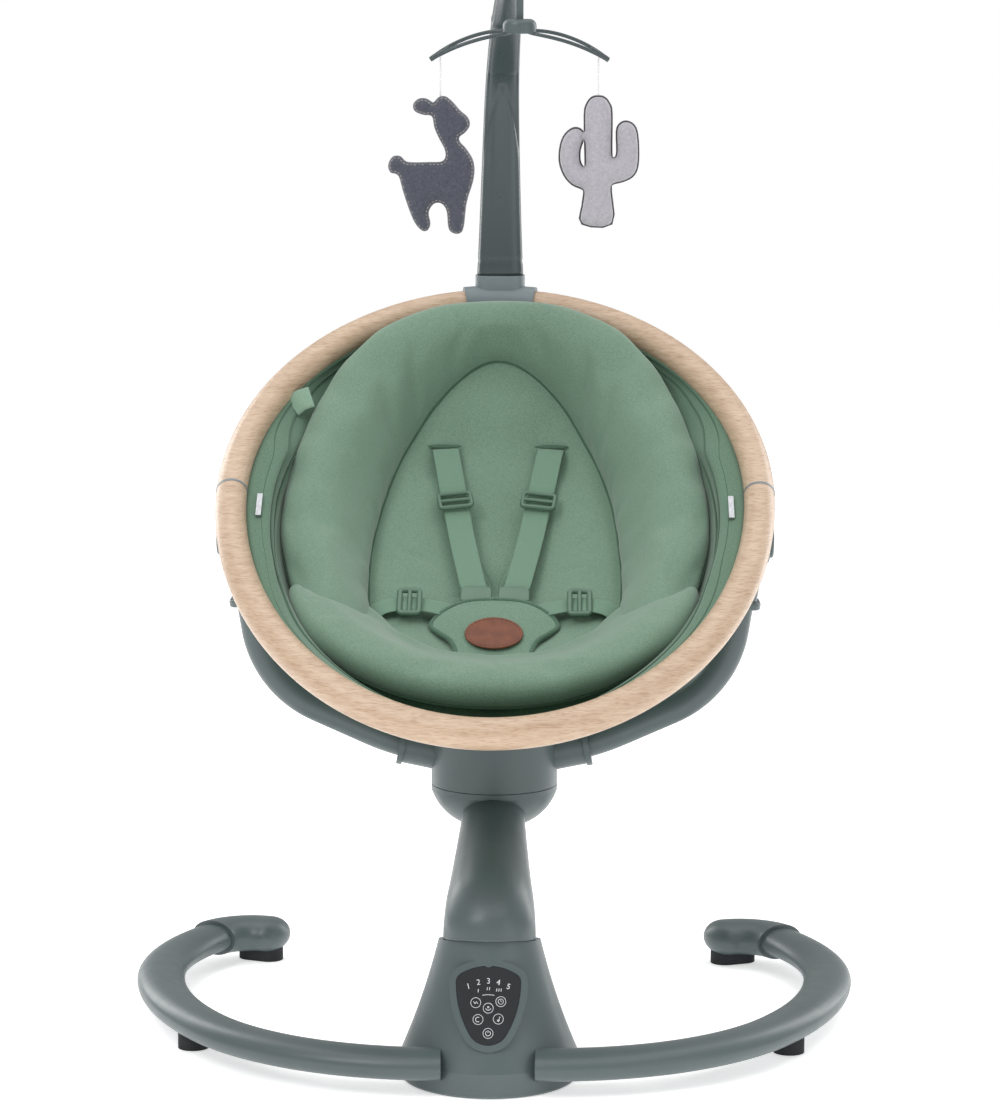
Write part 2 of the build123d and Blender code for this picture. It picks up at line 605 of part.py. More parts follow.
def make_harness():
    joint_v = BUCKLE_V + BUCKLE_L / 2
    straps = []
    adjusters = []
    waists = []
    for side in (-1, 1):
        start = (side * SLOT_U, SLOT_V, pad_depth(SLOT_U, SLOT_V) + STRAP_LIFT + 2)
        end = (side * (WEB_W / 2 + 2), joint_v + 3, BUCKLE_TOP - 6)
        plane, web = strap(start, end, 0)
        straps.append(web)
        at = plane * Pos(88, 0, WEB_T + 2)
        adjusters.append(at * Box(22, 33, 3.6))
        start = (side * WAIST_U, BUCKLE_V, BUCKLE_TOP - 5)
        end = (side * (BUCKLE_W / 2 + 1), BUCKLE_V, BUCKLE_TOP - 8)
        plane, web = strap(start, end, 0, 20)
        waists.append(web)
        adjusters.append(plane * Pos(20, 0, WEB_T + 2) * Box(20, 28, 3.6))
    save("shoulder_straps", *straps)
    save("waist_straps", *waists)
    save("strap_adjusters", *adjusters)

    low = BUCKLE_TOP - BUCKLE_T
    body = extrude(SEAT.offset(low) * Pos(0, BUCKLE_V, 0) * RectangleRounded(
        BUCKLE_W, BUCKLE_L, 9), BUCKLE_T)
    button_at = SEAT.offset(BUCKLE_TOP - 7) * Pos(0, BUCKLE_V - 4, 0)
    body -= extrude(SEAT.offset(BUCKLE_TOP - 7 - RELEASE_TRAVEL - GAP) * Pos(
        0, BUCKLE_V - 4, 0) * Circle(RELEASE_R + FIT), 20)
    button = extrude(button_at * Circle(RELEASE_R), 6.5)
    top = BUCKLE_TOP + GAP
    cover = Plane(origin=SEAT.from_local_coords((0, BUCKLE_V + 12, top)), x_dir=(1, 0, 0),
                  z_dir=SEAT.z_dir)
    half_w, narrow, length = 54.0, 30.0, 72.0
    outline = Polyline((-half_w, 0), (half_w, 0), (half_w, -18), (narrow, -length),
                       (-narrow, -length), (-half_w, -18), (-half_w, 0))
    save("buckle_body", body)
    save("buckle_button", button)
    save("crotch_pad", extrude(cover * make_face(outline), CROTCH_T))


# ---- toy bar, mobile and toys ------------------------------------------------------
def turned(shape):
    """A piece of the toy bar at the small turn it is stored at."""
    return Pos(0, BAR_Y, 0) * Rotation(0, 0, BAR_TURN) * Pos(0, -BAR_Y, 0) * shape


def make_bar():
    foot = BAR_Z + GAP
    line = Spline((0, BAR_Y, foot), (0, BAR_Y - 0.05 * BAR_REACH, foot + 0.55 * BAR_RISE),
                  (0, BAR_Y - 0.42 * BAR_REACH, foot + 0.9 * BAR_RISE),
                  (0, BAR_Y - BAR_REACH - 8, foot + BAR_RISE),
                  tangents=((0, 0, 1), (0, -1, 0.05)))
    sections = []
    steps = 7
    for step in range(steps + 1):
        t = step / steps
        width = BAR_W0 + (BAR_W1 - BAR_W0) * t ** 0.8
        depth = BAR_D0 + (BAR_D1 - BAR_D0) * t
        plane = Plane(origin=line @ t, x_dir=(1, 0, 0), z_dir=line % t)
        sections.append(plane * RectangleRounded(width, depth, depth * 0.42))
    bar = loft(sections)
    bar += rod((0, BAR_Y, BAR_Z - 22), (0, BAR_Y, foot + 6), BAR_SPIGOT_R)
    hub_y = BAR_Y - BAR_REACH
    stem_top = foot + BAR_RISE - BAR_D1 / 2 + 2
    stem_low = MOBILE_Z + MOBILE_HUB_H - 7
    stem = rod((0, hub_y, stem_low), (0, hub_y, stem_top), STEM_R)
    save("toy_bar", turned(bar))
    save("mobile_stem", turned(stem - bar))


def mobile_centre():
    turn = radians(BAR_TURN)
    return BAR_REACH * sin(turn), BAR_Y - BAR_REACH * cos(turn)


def make_mobile():
    x, y = mobile_centre()
    hub = Pos(x, y, MOBILE_Z) * Cylinder(MOBILE_HUB_R, MOBILE_HUB_H,
                                         align=(Align.CENTER, Align.CENTER, Align.MIN))
    hub = fillet(hub.edges().group_by(Axis.Z)[-1], 6)
    hub -= rod((x, y, MOBILE_Z + MOBILE_HUB_H - 7 - GAP), (x, y, MOBILE_Z + 20), STEM_R + RUN)
    save("mobile_hub", hub)

    radius = (TIP_X ** 2 + TIP_DROP ** 2) / (2 * TIP_DROP)
    top = MOBILE_Z + MOBILE_T
    reach = TIP_X + 5
    strip = Cylinder(radius, 60) - Cylinder(radius - MOBILE_T, 62)
    strip = Pos(x, y, top - radius) * Rotation(90, 0, 0) * strip
    strip &= Pos(x, y, top - TIP_DROP) * Box(2 * reach, 60, 2 * TIP_DROP + 12)
    arms = []
    for side in (-1, 1):
        loop = ThreePointArc((4, 0), (reach / 2, 12), (reach, 2))
        loop += Line((reach, 2), (reach, -2))
        loop += ThreePointArc((reach, -2), (reach / 2, -12), (4, 0))
        gap = ThreePointArc((14, 0), (reach / 2, 8.6), (TIP_X - 6, 0))
        gap += ThreePointArc((TIP_X - 6, 0), (reach / 2, -8.6), (14, 0))
        plan = make_face(loop) - make_face(gap)
        prism = Pos(x, y, MOBILE_Z - 40) * extrude(plan, 60)
        if side < 0:
            prism = mirror(prism, about=Plane(origin=(x, y, 0), z_dir=(1, 0, 0)))
        arms.append(prism & strip)
    joined = arms[0] + arms[1] - hub
    save("mobile_arms", *joined.solids())


LLAMA = ((0, 0), (5, 0), (17, -12), (24, -18), (26, -25), (21, -32), (17, -35), (22, -43),
         (30, -60), (29, -74), (23, -94), (19.5, -119), (8.5, -118), (6.5, -100), (-2, -94),
         (-11, -103), (-9, -113), (-14, -119), (-23, -110), (-32, -86), (-38, -67), (-44, -66),
         (-46, -60), (-42, -52), (-34, -54), (-29, -59), (-9, -58), (8, -58), (3, -38),
         (-5, -25), (-7, -15), (-13, -16), (-22, -13), (-24, -7), (-19, -2), (-12, -2), (-6, -6))


def cactus_face():
    """A trunk and two raised arms, all round-ended, hanging from the trunk's top."""
    trunk = Pos(0, -46) * SlotOverall(92, 22, rotation=90)
    foot = Pos(0, -88) * Rectangle(23, 46)
    right = Pos(16, -66) * SlotOverall(34, 19, rotation=18)
    right += Pos(27, -44) * SlotOverall(44, 14.5, rotation=90)
    left = Pos(-15, -74) * SlotOverall(34, 19, rotation=-24)
    left += Pos(-25, -53) * SlotOverall(48, 14.5, rotation=84)
    return trunk + foot + right + left


def make_toys():
    x, y = mobile_centre()
    radius = (TIP_X ** 2 + TIP_DROP ** 2) / (2 * TIP_DROP)
    tip = MOBILE_Z + MOBILE_T - radius + sqrt((radius - MOBILE_T) ** 2 - TIP_X ** 2)
    string_top = tip - FIT - STRING_R
    string_low = string_top - STRING_L
    for name, side in (("llama", -1), ("cactus", 1)):
        at = x + side * TIP_X
        flat = make_face(Polyline(*LLAMA, close=True)) if name == "llama" else cactus_face()
        front = Plane(origin=(at, y - TOY_T / 2, string_low), x_dir=(1, 0, 0), z_dir=(0, -1, 0))
        save(name, extrude(front.offset(-TOY_T) * flat, TOY_T))
        save(f"{name}_string", rod((at, y, string_low), (at, y, string_top), STRING_R))


os.makedirs("parts", exist_ok=True)
make_base()
make_drive()
make_hub()
make_hinge()
make_seat(*make_ring())
make_harness()
make_bar()
make_mobile()
make_toys()
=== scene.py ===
"""Baby swing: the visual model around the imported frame, with its camera, light and floor."""
import json
import math

import bmesh
import bpy
from mathutils import Matrix, Vector, noise


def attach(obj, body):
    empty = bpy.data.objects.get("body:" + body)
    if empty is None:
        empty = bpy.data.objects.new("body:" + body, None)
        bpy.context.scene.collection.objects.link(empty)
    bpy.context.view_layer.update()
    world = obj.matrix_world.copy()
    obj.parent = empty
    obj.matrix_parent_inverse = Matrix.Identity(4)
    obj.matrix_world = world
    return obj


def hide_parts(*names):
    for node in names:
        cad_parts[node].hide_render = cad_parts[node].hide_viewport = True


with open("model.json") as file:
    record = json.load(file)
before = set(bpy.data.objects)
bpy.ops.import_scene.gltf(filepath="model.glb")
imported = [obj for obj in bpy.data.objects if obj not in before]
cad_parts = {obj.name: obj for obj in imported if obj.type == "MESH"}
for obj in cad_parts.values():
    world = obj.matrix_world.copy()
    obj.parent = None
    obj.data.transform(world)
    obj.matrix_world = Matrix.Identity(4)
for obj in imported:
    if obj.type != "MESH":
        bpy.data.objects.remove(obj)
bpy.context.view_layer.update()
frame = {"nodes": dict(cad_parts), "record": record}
NODES = frame["nodes"]
MM = 0.001
SCENE = bpy.context.scene


# ---- camera, light and floor -------------------------------------------------------
def place_camera():
    camera = bpy.data.objects.new("camera", bpy.data.cameras.new("camera"))
    SCENE.collection.objects.link(camera)
    camera.data.lens = 117.8
    camera.data.sensor_width = 36.0
    camera.data.clip_end = 60.0
    turn = Matrix.Rotation(math.radians(0.852), 4, "Z")
    pitch = Matrix.Rotation(math.radians(90 - 7.861), 4, "X")
    roll = Matrix.Rotation(math.radians(0.213), 4, "Z")
    camera.matrix_world = Matrix.Translation((0.0520, -2.9873, 0.8650)) @ turn @ pitch @ roll
    SCENE.camera = camera


def area_light(name, place, aim, size, power, tint=(1, 1, 1)):
    light = bpy.data.objects.new(name, bpy.data.lights.new(name, "AREA"))
    SCENE.collection.objects.link(light)
    light.data.shape = "RECTANGLE"
    light.data.size, light.data.size_y = size
    light.data.energy = power
    light.data.color = tint
    light.location = place
    light.rotation_euler = (Vector(aim) - Vector(place)).to_track_quat("-Z", "Y").to_euler()


def build_studio():
    SCENE.view_settings.view_transform = "Standard"
    world = bpy.data.worlds.new("studio")
    SCENE.world = world
    world.use_nodes = True
    world.node_tree.nodes["Background"].inputs["Color"].default_value = (1, 1, 1, 1)
    sky = world.node_tree.nodes["Background"]
    path = world.node_tree.nodes.new("ShaderNodeLightPath")
    level = world.node_tree.nodes.new("ShaderNodeMapRange")
    level.inputs["To Min"].default_value = 0.50
    level.inputs["To Max"].default_value = 1.0
    world.node_tree.links.new(path.outputs["Is Camera Ray"], level.inputs["Value"])
    world.node_tree.links.new(level.outputs["Result"], sky.inputs["Strength"])
    aim = (0, 0.15, 0.45)
    area_light("key", (-1.5, -1.7, 2.6), aim, (1.4, 1.4), 30)
    area_light("top", (0.2, 0.2, 4.2), (0, 0.2, 0), (5.0, 5.0), 110)
    area_light("fill", (2.3, -1.9, 1.0), aim, (1.6, 2.0), 8)
    area_light("rim_left", (-1.5, 1.9, 1.2), aim, (0.6, 1.8), 16)
    area_light("rim_right", (1.6, 1.7, 1.0), aim, (0.6, 1.8), 14)
    floor = mesh_object("floor", [(-9, -9, 0), (9, -9, 0), (9, 9, 0), (-9, 9, 0)], [(0, 1, 2, 3)])
    floor.location.z = -0.0004
    paint = Paint("floor_paper", Roughness=0.75, Emission_Color=(1, 1, 1, 1),
                  Emission_Strength=0.5)
    grain = paint.noise(40, 3, 0.6)
    paint.colour(paint.ramp(grain, ((0.3, (250, 250, 250)), (0.7, (255, 255, 255)))))
    floor.data.materials.append(paint.material)


# ---- procedural materials ----------------------------------------------------------
def linear(rgb):
    out = [((c / 255 + 0.055) / 1.055) ** 2.4 if c > 10 else c / 255 / 12.92 for c in rgb]
    return (*out, 1.0)


class Paint:
    """Node building for one procedural material, measured in the object's own metres."""

    def __init__(self, name, **sockets):
        self.material = bpy.data.materials.new(name)
        self.material.use_nodes = True
        self.tree = self.material.node_tree
        self.shader = self.tree.nodes["Principled BSDF"]
        for socket, value in sockets.items():
            self.shader.inputs[socket.replace("_", " ")].default_value = value
        self.place = self.add("ShaderNodeTexCoord").outputs["Object"]

    def add(self, kind, inputs=None, **settings):
        node = self.tree.nodes.new(kind)
        for key, value in settings.items():
            setattr(node, key, value)
        for key, value in (inputs or {}).items():
            if isinstance(value, bpy.types.NodeSocket):
                self.tree.links.new(value, node.inputs[key])
            else:
                node.inputs[key].default_value = value
        return node

    def stretched(self, stretch, turn=(0, 0, 0), source=None):
        return self.add("ShaderNodeMapping", {"Vector": source or self.place, "Scale": stretch,
                                              "Rotation": turn}).outputs[0]

    def noise(self, scale, detail=2.0, rough=0.5, stretch=None, distortion=0.0):
        vector = self.stretched(stretch) if stretch else self.place
        return self.add("ShaderNodeTexNoise", {"Vector": vector, "Scale": scale, "Detail": detail,
                                               "Roughness": rough, "Distortion": distortion}
                        ).outputs["Fac"]

    def wave(self, scale, direction="X", source=None, distortion=0.0, turn=(0, 0, 0)):
        vector = self.stretched((1, 1, 1), turn, source)
        return self.add("ShaderNodeTexWave", {"Vector": vector, "Scale": scale,
                                              "Distortion": distortion, "Detail": 2.0},
                        bands_direction=direction).outputs["Fac"]

    def ramp(self, fac, stops):
        node = self.add("ShaderNodeValToRGB", {"Fac": fac})
        while len(node.color_ramp.elements) < len(stops):
            node.color_ramp.elements.new(0.5)
        for element, (at, rgb) in zip(node.color_ramp.elements, stops):
            element.position = at
            element.color = linear(rgb)
        return node.outputs["Color"]

    def mix(self, fac, a, b, kind="MIX"):
        node = self.add("ShaderNodeMix", data_type="RGBA", blend_type=kind)
        for index, value in ((0, fac), (6, a), (7, b)):
            if isinstance(value, bpy.types.NodeSocket):
                self.tree.links.new(value, node.inputs[index])
            else:
                node.inputs[index].default_value = value
        return node.outputs[2]

    def span(self, fac, low, high):
        return self.add("ShaderNodeMapRange", {"Value": fac, "To Min": low, "To Max": high}
                        ).outputs["Result"]

    def colour(self, socket):
        self.tree.links.new(socket, self.shader.inputs["Base Color"])

    def rough(self, socket):
        self.tree.links.new(socket, self.shader.inputs["Roughness"])

    def bump(self, *layers):
        """Layers of (height, strength, depth in metres), each on top of the last."""
        normal = None
        for height, strength, depth in layers:
            inputs = {"Height": height, "Strength": strength, "Distance": depth}
            if normal:
                inputs["Normal"] = normal
            normal = self.add("ShaderNodeBump", inputs).outputs[0]
        self.tree.links.new(normal, self.shader.inputs["Normal"])


def fabric_paint(name, dark, light, fleck=0.5):
    """A mottled knit: short level slubs in two tones over a fine weave."""
    paint = Paint(name, Roughness=0.92, Sheen_Weight=0.35, Sheen_Roughness=0.45,
                  Specular_IOR_Level=0.2)
    slub = paint.noise(1.0, 3.0, 0.65, stretch=(380, 1500, 1700))
    fleck_map = paint.noise(1.0, 1.0, 0.5, stretch=(700, 2100, 2100))
    tone = paint.ramp(slub, ((0.32, dark), (0.68, light)))
    soft = paint.ramp(fleck_map, ((0.30, [c * 0.90 for c in dark]), (0.50, light),
                                  (0.74, [min(255, c * 1.10) for c in light])))
    cloud = paint.noise(9.0, 3.0)
    cloudy = paint.mix(paint.span(cloud, 0.0, 0.22), paint.mix(fleck, tone, soft), linear(dark))
    paint.colour(cloudy)
    weave = paint.noise(1500, 1.0, 0.4)
    paint.bump((paint.noise(38, 2.0), 0.16, 0.0012), (slub, 0.25, 0.0003), (weave, 0.5, 0.0002))
    return paint.material


def plastic_paint(name, dark, light, rough=0.36, texture=0.22):
    """Moulded plastic with a fine eroded texture and a little tone change."""
    paint = Paint(name, Specular_IOR_Level=0.5)
    cloud = paint.noise(7.0, 3.0)
    paint.colour(paint.ramp(cloud, ((0.25, dark), (0.75, light))))
    grain = paint.noise(1700, 2.0, 0.55)
    paint.rough(paint.span(paint.noise(60, 4.0), rough - 0.05, rough + 0.08))
    paint.bump((grain, texture, 0.00012), (paint.noise(14, 1.0), 0.05, 0.001))
    return paint.material


def wood_paint():
    """Pale beech: long grain round the ring with small darker flecks, satin lacquer."""
    paint = Paint("wood", Coat_Weight=0.25, Coat_Roughness=0.28, Specular_IOR_Level=0.45)
    flow = paint.noise(1.0, 4.0, 0.6, stretch=(38, 38, 260), distortion=0.4)
    fibre = paint.noise(1.0, 2.0, 0.5, stretch=(120, 90, 1700))
    tone = paint.ramp(flow, ((0.28, (184, 157, 132)), (0.5, (196, 170, 145)),
                             (0.72, (205, 181, 157))))
    fleck = paint.ramp(fibre, ((0.34, (206, 182, 160)), (0.50, (255, 255, 255))))
    paint.colour(paint.mix(0.55, tone, paint.mix(1.0, tone, fleck, "MULTIPLY")))
    paint.rough(paint.span(flow, 0.36, 0.48))
    paint.bump((fibre, 0.15, 0.0001))
    return paint.material


def web_paint():
    """Woven strap: a slanting twill, with the cloth's own colour."""
    paint = Paint("webbing", Roughness=0.85, Sheen_Weight=0.3, Specular_IOR_Level=0.25)
    uv = paint.add("ShaderNodeTexCoord").outputs["UV"]
    twill = paint.wave(330, "DIAGONAL", uv, 0.6)
    rib = paint.wave(520, "X", uv, 0.2)
    paint.colour(paint.mix(paint.span(twill, 0, 0.5), linear((118, 150, 128)),
                           linear((92, 124, 102))))
    paint.bump((twill, 0.5, 0.0004), (rib, 0.3, 0.0002))
    return paint.material


def felt_paint(name, dark, light):
    paint = Paint(name, Roughness=0.97, Sheen_Weight=0.5, Sheen_Roughness=0.5,
                  Specular_IOR_Level=0.15)
    fuzz = paint.noise(420, 5.0, 0.75, distortion=0.8)
    paint.colour(paint.ramp(fuzz, ((0.3, dark), (0.72, light))))
    paint.bump((paint.noise(70, 4.0), 0.4, 0.001), (fuzz, 0.7, 0.0006))
    return paint.material


def leather_paint():
    paint = Paint("leather", Specular_IOR_Level=0.4)
    cells = paint.add("ShaderNodeTexVoronoi", {"Vector": paint.place, "Scale": 1300},
                      feature="DISTANCE_TO_EDGE").outputs["Distance"]
    cloud = paint.noise(90, 4.0)
    paint.colour(paint.ramp(cloud, ((0.25, (100, 54, 36)), (0.75, (132, 78, 54)))))
    paint.rough(paint.span(cloud, 0.42, 0.6))
    paint.bump((cells, 0.5, 0.0003), (cloud, 0.3, 0.0006))
    return paint.material


def glass_paint():
    """The control panel's dark gloss face."""
    paint = Paint("panel_gloss", Coat_Weight=0.8, Coat_Roughness=0.04, Specular_IOR_Level=0.5)
    cloud = paint.noise(30, 2.0)
    paint.colour(paint.ramp(cloud, ((0.3, (17, 22, 25)), (0.7, (23, 29, 32)))))
    paint.rough(paint.span(paint.noise(200, 3.0), 0.10, 0.17))
    return paint.material


def print_paint():
    paint = Paint("panel_print", Roughness=0.5)
    paint.colour(paint.ramp(paint.noise(900, 2.0), ((0.3, (196, 201, 203)),
                                                    (0.7, (222, 226, 228)))))
    return paint.material


def rubber_paint():
    paint = Paint("rubber", Specular_IOR_Level=0.3)
    grain = paint.noise(900, 3.0, 0.6)
    paint.colour(paint.ramp(paint.noise(60, 3.0), ((0.3, (36, 38, 40)), (0.7, (48, 50, 52)))))
    paint.rough(paint.span(grain, 0.7, 0.9))
    paint.bump((grain, 0.35, 0.0003))
    return paint.material


def metal_paint(name, dark, light, rough):
    paint = Paint(name, Metallic=1.0)
    brushed = paint.noise(1.0, 2.0, stretch=(2200, 180, 180))
    paint.colour(paint.ramp(brushed, ((0.3, dark), (0.7, light))))
    paint.rough(paint.span(brushed, rough - 0.06, rough + 0.08))
    paint.bump((brushed, 0.1, 0.0001))
    return paint.material


def string_paint():
    paint = Paint("string", Roughness=0.8, Sheen_Weight=0.2)
    twist = paint.wave(260, "Z", None, 1.2)
    paint.colour(paint.ramp(twist, ((0.2, (205, 205, 205)), (0.7, (240, 240, 240)))))
    paint.bump((twist, 0.5, 0.0002))
    return paint.material


# ---- mesh helpers ------------------------------------------------------------------
def mesh_object(name, verts, faces, smooth=True):
    mesh = bpy.data.meshes.new(name)
    mesh.from_pydata([tuple(v) for v in verts], [], faces)
    mesh.validate()
    obj = bpy.data.objects.new(name, mesh)
    SCENE.collection.objects.link(obj)
    mesh.polygons.foreach_set("use_smooth", [smooth] * len(mesh.polygons))
    return obj


def skin(name, rows, round_rows=True, ends=False, closed_columns=False):
    """A mesh through rows of points; each row may close, and the rows may close too."""
    count = len(rows[0])
    verts = [p for row in rows for p in row]
    faces = []
    row_pairs = len(rows) if closed_columns else len(rows) - 1
    across = count if round_rows else count - 1
    for i in range(row_pairs):
        for j in range(across):
            a, b = i * count, ((i + 1) % len(rows)) * count
            k = (j + 1) % count
            faces.append((a + j, a + k, b + k, b + j))
    if ends:
        faces.append(tuple(range(count - 1, -1, -1)))
        faces.append(tuple(range((len(rows) - 1) * count, len(rows) * count)))
    obj = mesh_object(name, verts, faces)
    tidy(obj)
    return obj


def tidy(obj, merge=0.00002):
    """Weld what meets and turn every face outwards."""
    work = bmesh.new()
    work.from_mesh(obj.data)
    bmesh.ops.remove_doubles(work, verts=work.verts, dist=merge)
    bmesh.ops.recalc_face_normals(work, faces=work.faces)
    work.to_mesh(obj.data)
    work.free()
    obj.data.update()


def finish_piece(obj, body, slot, paint, *replaced):
    obj.data.materials.clear()
    obj.data.materials.append(PAINTS[paint] if isinstance(paint, str) else paint)
    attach(obj, body)
    if replaced:
        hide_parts(*replaced)
    return obj


def subdivide(obj, levels=1):
    modifier = obj.modifiers.new("smooth", "SUBSURF")
    modifier.levels = levels
    modifier.render_levels = levels
    return obj


def bake(obj):
    """Apply every modifier, so what comes after works on the final mesh."""
    bpy.context.view_layer.update()
    evaluated = obj.evaluated_get(bpy.context.evaluated_depsgraph_get())
    mesh = bpy.data.meshes.new_from_object(evaluated)
    obj.modifiers.clear()
    old = obj.data
    obj.data = mesh
    bpy.data.meshes.remove(old)
    mesh.polygons.foreach_set("use_smooth", [True] * len(mesh.polygons))
    return obj


def smooth_line(points, steps, closed=False):
    """A Catmull-Rom line through control points of any size."""
    points = [Vector(p) for p in points]
    n = len(points)
    out = []
    spans = n if closed else n - 1
    for i in range(spans):
        if closed:
            p0, p1, p2, p3 = (points[(i + k - 1) % n] for k in range(4))
        else:
            p0, p1, p2, p3 = (points[min(max(i + k - 1, 0), n - 1)] for k in range(4))
        for s in range(steps):
            t = s / steps
            out.append(0.5 * ((2 * p1) + (p2 - p0) * t + (2 * p0 - 5 * p1 + 4 * p2 - p3) * t * t
                              + (3 * p1 - p0 - 3 * p2 + p3) * t ** 3))
    if not closed:
        out.append(points[-1])
    return out


def table(rows, x):
    """Smoothly read rows of (x, values...) at x."""
    if x <= rows[0][0]:
        return rows[0][1:]
    for low, high in zip(rows, rows[1:]):
        if x <= high[0]:
            t = (x - low[0]) / (high[0] - low[0])
            t = t * t * (3 - 2 * t)
            return tuple(a + (b - a) * t for a, b in zip(low[1:], high[1:]))
    return rows[-1][1:]


def cord_tube(name, points, radius, sides=8, closed=False, squash=1.0):
    """A round or flattened piping along points."""
    points = [Vector(p) for p in points]
    rows = []
    n = len(points)
    normal = None
    for i, p in enumerate(points):
        ahead = points[(i + 1) % n] if closed or i < n - 1 else p
        behind = points[i - 1] if closed or i else p
        along = (ahead - behind).normalized()
        if normal is None:
            normal = along.orthogonal().normalized()
        normal = (normal - along * normal.dot(along)).normalized()
        side = along.cross(normal)
        row = []
        for k in range(sides):
            a = 2 * math.pi * k / sides
            row.append(p + normal * math.cos(a) * radius + side * math.sin(a) * radius * squash)
        rows.append(row)
    obj = skin(name, rows, True, not closed, closed)
    return obj


def puff(obj, held, pressure=4.0, cap=0.010, tension=12.0, shrink=0.0):
    """Inflate a sewn cover with cloth, held at its seams, and keep the result."""
    rest = [v.co.copy() for v in obj.data.vertices]
    group = obj.vertex_groups.new(name="held")
    group.add(held, 1.0, "REPLACE")
    modifier = obj.modifiers.new("cloth", "CLOTH")
    cloth = modifier.settings
    cloth.quality = 5
    cloth.mass = 0.25
    cloth.tension_stiffness = tension
    cloth.compression_stiffness = tension
    cloth.shear_stiffness = tension / 2
    cloth.bending_stiffness = 0.6
    cloth.air_damping = 3.0
    cloth.use_pressure = True
    cloth.uniform_pressure_force = pressure
    cloth.effector_weights.gravity = 0.0
    cloth.vertex_group_mass = "held"
    cloth.shrink_min = shrink
    modifier.collision_settings.use_collision = False
    modifier.point_cache.frame_start = 1
    modifier.point_cache.frame_end = 20
    for step in range(1, 21):
        SCENE.frame_set(step)
    evaluated = obj.evaluated_get(bpy.context.evaluated_depsgraph_get())
    moved = [v.co.copy() for v in evaluated.data.vertices]
    obj.modifiers.clear()
    SCENE.frame_set(1)
    for vertex, old, new in zip(obj.data.vertices, rest, moved):
        step = new - old
        if step.length > cap:
            step *= cap / step.length
        vertex.co = old + step
    obj.data.update()
    return obj


# ---- the seat's own frame ----------------------------------------------------------
SEAT_ORIGIN = Vector((0, 0.198, 0.467))
TILT = math.radians(32.57)
SEAT_U = Vector((1, 0, 0))
SEAT_V = Vector((0, math.cos(TILT), math.sin(TILT)))
SEAT_W = Vector((0, -math.sin(TILT), math.cos(TILT)))
BOWL_A, BOWL_B, BOWL_C = 199.0, 263.0, 134.0     # outside of the pad, mm
PAD_C = 107.0                                    # depth of the pad's inside
PAD_REACH = 0.91


def seat(u, v, w):
    return SEAT_ORIGIN + (SEAT_U * u + SEAT_V * v + SEAT_W * w) * MM


def bowl(angle, d, w):
    """A point by its angle from the head, its share of the bowl's radius, and its height."""
    return seat(BOWL_A * d * math.sin(angle), BOWL_B * d * math.cos(angle), w)


def pad_inside(d):
    return -PAD_C * math.sqrt(max(0.0, 1 - (d / PAD_REACH) ** 2))


def pad_outside(d):
    return -BOWL_C * math.sqrt(max(0.0, 1 - d * d))


# angle from the head in degrees: share of the radius and height of the border's middle,
# and the border's half thickness across (share) and up (mm)
BORDER = ((0, 0.966, 10, 0.080, 22), (16, 0.980, 9, 0.080, 22), (31, 0.997, 4, 0.080, 21),
          (42, 0.980, -3, 0.080, 20), (54, 0.948, -13, 0.080, 19), (66, 0.926, -22, 0.081, 18),
          (78, 0.903, -29, 0.082, 17), (90, 0.882, -34, 0.084, 16),
          (111, 0.858, -38, 0.080, 16), (135, 0.860, -46, 0.074, 15),
          (155, 0.800, -66, 0.060, 13), (180, 0.770, -80, 0.055, 11))


def border(angle):
    turn = abs((math.degrees(angle) + 180) % 360 - 180)
    return table(BORDER, turn)


def seam_share(angle):
    """The inner oval's seam, as a share of the bowl's radius."""
    across = math.sin(angle) * BOWL_A / 113.0
    along = math.cos(angle) * BOWL_B / 234.5
    return 1 / math.hypot(across, along)


def pad_section(angle):
    """One slice of the main pad from its middle over the border and back underneath."""
    mid_d, mid_w, reach, rise = border(angle)
    seam = seam_share(angle)
    if math.cos(angle) < 0:
        seam = min(seam, mid_d - reach - 0.05)
    line = []
    inner = 15
    for i in range(inner + 1):
        share = i / (inner - 1) * 0.965 if i < inner else 1.0
        d = seam * share
        crown = 7.0 * math.sin(math.pi * share ** 3)
        line.append((d, pad_inside(d) + crown))
    bank = 9
    start_d, start_w = line[-1]
    top_d, top_w = mid_d - reach * 0.80, mid_w + rise * 0.60
    for i in range(1, bank + 1):
        t = (i - 1) / (bank - 1) * 0.93 + 0.07
        d = start_d + (top_d - start_d) * t
        w = start_w + (top_w - start_w) * (t ** 1.1)
        base = pad_inside(d)
        w = max(w, base + 2) if t < 0.7 else w
        line.append((d, w + 8.0 * math.sin(math.pi * t) ** 0.8))
    roll = 14
    for i in range(1, roll + 1):
        a = math.radians(143 - i * 235 / roll)
        line.append((mid_d + reach * math.cos(a), mid_w + rise * math.sin(a)))
    under = 9
    last_d, last_w = line[-1]
    for i in range(1, under + 1):
        t = i / under
        d = last_d * (1 - t)
        w = pad_outside(d) if t > 0.15 else last_w + (pad_outside(d) - last_w) * t / 0.15
        line.append((d, w))
    return line, inner, inner + bank, inner + bank + roll


